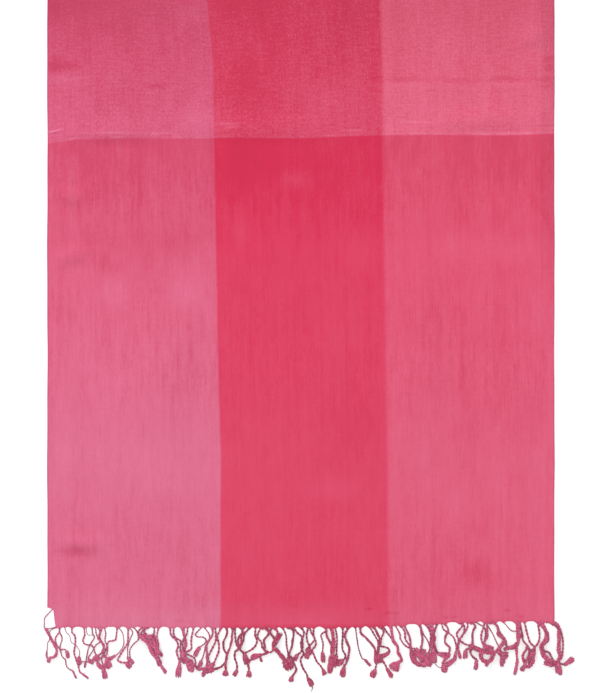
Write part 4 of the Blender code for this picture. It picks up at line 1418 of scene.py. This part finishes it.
def add_lock(heap, start, end, bow, radius, height, tone, band, rng):
    """One lock of a tassel: a tapered tuft that bows to one side and sinks towards the floor."""
    share = np.linspace(0.0, 1.0, len(LOCK_WIDTHS))
    flat = start + (end - start) * share[:, None] + bow * (4 * share * (1 - share))[:, None]
    radii = np.array(LOCK_WIDTHS) * radius
    layer = rng.uniform(0.2, 1.1)
    z = np.maximum(radii + FLOOR_CLEARANCE, height * (1 - share) + layer * radius * 2 * share)
    lumps = 1 + rng.normal(0, 0.12, (len(share), LOCK_SIDES))
    rings = ring_points(np.column_stack([flat, z]), radii, LOCK_SIDES, lumps)
    heap.add_tube(*rings, float(np.clip(tone + rng.normal(0, 0.2), 0, 1)), band)


def add_fibre(heap, start, reach, height, tone, band, rng):
    """One loose fibre: it bends as it goes and thins to nothing."""
    share = np.linspace(0.0, 1.0, 5)
    bend = rng.normal(0, 0.35, 2) * float(np.linalg.norm(reach))
    flat = start + reach * share[:, None] + bend * (share ** 2)[:, None]
    z = np.maximum(FIBRE_LOWEST, height * (1 - share) + rng.uniform(0.0, 0.6) * height * share)
    rings = ring_points(np.column_stack([flat, z]), FIBRE_RADIUS * (1.15 - share), 3)
    heap.add_tube(*rings, tone, band)


def varied_route(route, rng, amount):
    """The same route with its points moved a little, the more the further down they are."""
    pixels = np.array(route, dtype=float)
    depth = np.clip((pixels[:, 1] - HEM_PIXEL) / FREE_DEPTH, 0.0, 1.0)[:, None]
    return pixels + rng.normal(0, amount, pixels.shape) * depth


def is_rooted(strand):
    """Whether a cord grows out of the hem."""
    return strand.route[0][1] < HEM_PIXEL + ROOT_REACH


# The cords' own unevenness, how far from the hem they rise to their place and at what height they
# leave it, how much their thickness wavers, and a tassel's dullness as a share of its cord's
YARN_NOISE = 0.00010
RISE_LENGTH = 0.006
ROOT_HEIGHT = 0.0009
THICKNESS_WAVER = 0.10
TASSEL_TONE = 0.4


def make_fringe(name, node, turn, materials, rng, change):
    """One end's fringe: its hem strip, its cords and its tassels."""
    cords, tassels = Heap(), Heap()
    lines, radii, ends = [], [], []
    for strand in STRANDS:
        route = metres(varied_route(strand.route, rng, change))
        line = curve_through(route[:-1] if strand.tassel else route, RING_STEP)
        lines.append(line + rng.normal(0, YARN_NOISE, line.shape))
        radii.append(FUZZ * strand.thick / 2000)
        ends.append((route[-2], route[-1]) if strand.tassel else None)
    heights = pile_up(lines, radii)
    for strand, line, radius, height, end in zip(STRANDS, lines, radii, heights, ends):
        if is_rooted(strand):
            near_root = np.clip(1 - np.linalg.norm(line - line[0], axis=1) / RISE_LENGTH, 0.0, 1.0)
            height = height * (1 - near_root) + ROOT_HEIGHT * near_root
        band = band_at(line[0, 0])
        tone = cord_tone(strand, band, rng)
        index = np.arange(len(line))
        reach = radius * (1 + THICKNESS_WAVER * np.sin(index * 0.31 + tone * 9))
        if end is None:
            # An end without a tassel tapers over its last rings.
            reach = reach * np.interp(index, [0, len(line) - 6, len(line) - 1], [1, 1, 0.6])
        spine = np.column_stack([line, height])
        if strand.thick > BUNDLE_THICKNESS:
            add_bundle(cords, spine, reach, tone, band, rng)
        else:
            add_cord(cords, spine, reach, tone, band)
        if end is not None:
            add_tassel(tassels, *end, strand.tassel / 1000, height[-1], TASSEL_TONE * tone, band, rng)
    roots = [(line[0, 0], strand.thick / 1000) for strand, line in zip(STRANDS, lines) if is_rooted(strand)]
    header = make_header(name + "_hem", turn, roots, materials["cloth"], rng)
    cord_piece = cords.piece(name + "_cords", turn, materials["cord"])
    tassel_piece = tassels.piece(name + "_tassels", turn, materials["cord"])
    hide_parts(node)
    return [header, cord_piece, tassel_piece]


def make_floor():
    """A square floor, one face."""
    corners = FLOOR_REACH * np.array([[-1, -1, 0], [1, -1, 0], [1, 1, 0], [-1, 1, 0]], dtype=float)
    floor = build_mesh("floor", corners, [np.array([[0, 1, 2, 3]])])
    floor.data.materials.append(floor_material())


def make_camera():
    """Straight above the picture's middle, its top towards +Y, taking in the picture's width."""
    lens = bpy.data.cameras.new("camera")
    lens.sensor_fit = "HORIZONTAL"
    lens.sensor_width = SENSOR
    lens.lens = SENSOR * (CAMERA_HEIGHT - WALL) / (PICTURE_WIDTH * PIXEL)
    lens.clip_end = CAMERA_REACH
    camera = bpy.data.objects.new("camera", lens)
    camera.location = (picture_x(PICTURE_WIDTH / 2), picture_y(PICTURE_HEIGHT / 2), CAMERA_HEIGHT)
    bpy.context.scene.collection.objects.link(camera)
    bpy.context.scene.camera = camera


class Lamp(NamedTuple):
    """A square light: its name, where it stands, its side in metres and its power in watts."""

    name: str
    place: tuple
    side: float
    power: float


# Both face the same point.
LAMPS = (
    Lamp("overhead", (0.0, -0.4, 6.5), 3.0, 255),
    Lamp("key", (-1.9, 2.4, 2.3), 1.6, 74),
)
LAMP_TARGET = (0.0, -0.4, 0.0)
WORLD_STRENGTH = 0.50


def add_lamp(lamp):
    """A square area light that faces the lamps' target."""
    data = bpy.data.lights.new(lamp.name, "AREA")
    data.size = lamp.side
    data.energy = lamp.power
    light = bpy.data.objects.new(lamp.name, data)
    light.location = lamp.place
    run = np.array(LAMP_TARGET) - np.array(lamp.place)
    light.rotation_euler = (math.acos(-run[2] / np.linalg.norm(run)), 0.0, math.atan2(-run[0], run[1]))
    bpy.context.scene.collection.objects.link(light)


def make_light():
    """Even light all round and from straight above, bright enough to whiten the floor with hardly a
    shadow on it, and a lower one from the picture's top left that shows the relief."""
    world = bpy.data.worlds.new("studio")
    world.use_nodes = True
    background = world.node_tree.nodes["Background"]
    background.inputs["Color"].default_value = (1.0, 1.0, 1.0, 1.0)
    background.inputs["Strength"].default_value = WORLD_STRENGTH
    bpy.context.scene.world = world
    for lamp in LAMPS:
        add_lamp(lamp)
    bpy.context.scene.view_settings.view_transform = "Standard"


def main():
    """Builds the scene."""
    make_camera()
    rng = np.random.default_rng(FRINGE_SEED)
    materials = {"cloth": cloth_material(), "cord": cord_material()}
    cloth = make_cloth(materials["cloth"])
    near = make_fringe("fringe_near_end", "fringe_near", 1.0, materials, rng, 0.0)
    far = make_fringe("fringe_far_end", "fringe_far", -1.0, materials, rng, FAR_CHANGE)
    make_floor()
    make_light()


main()
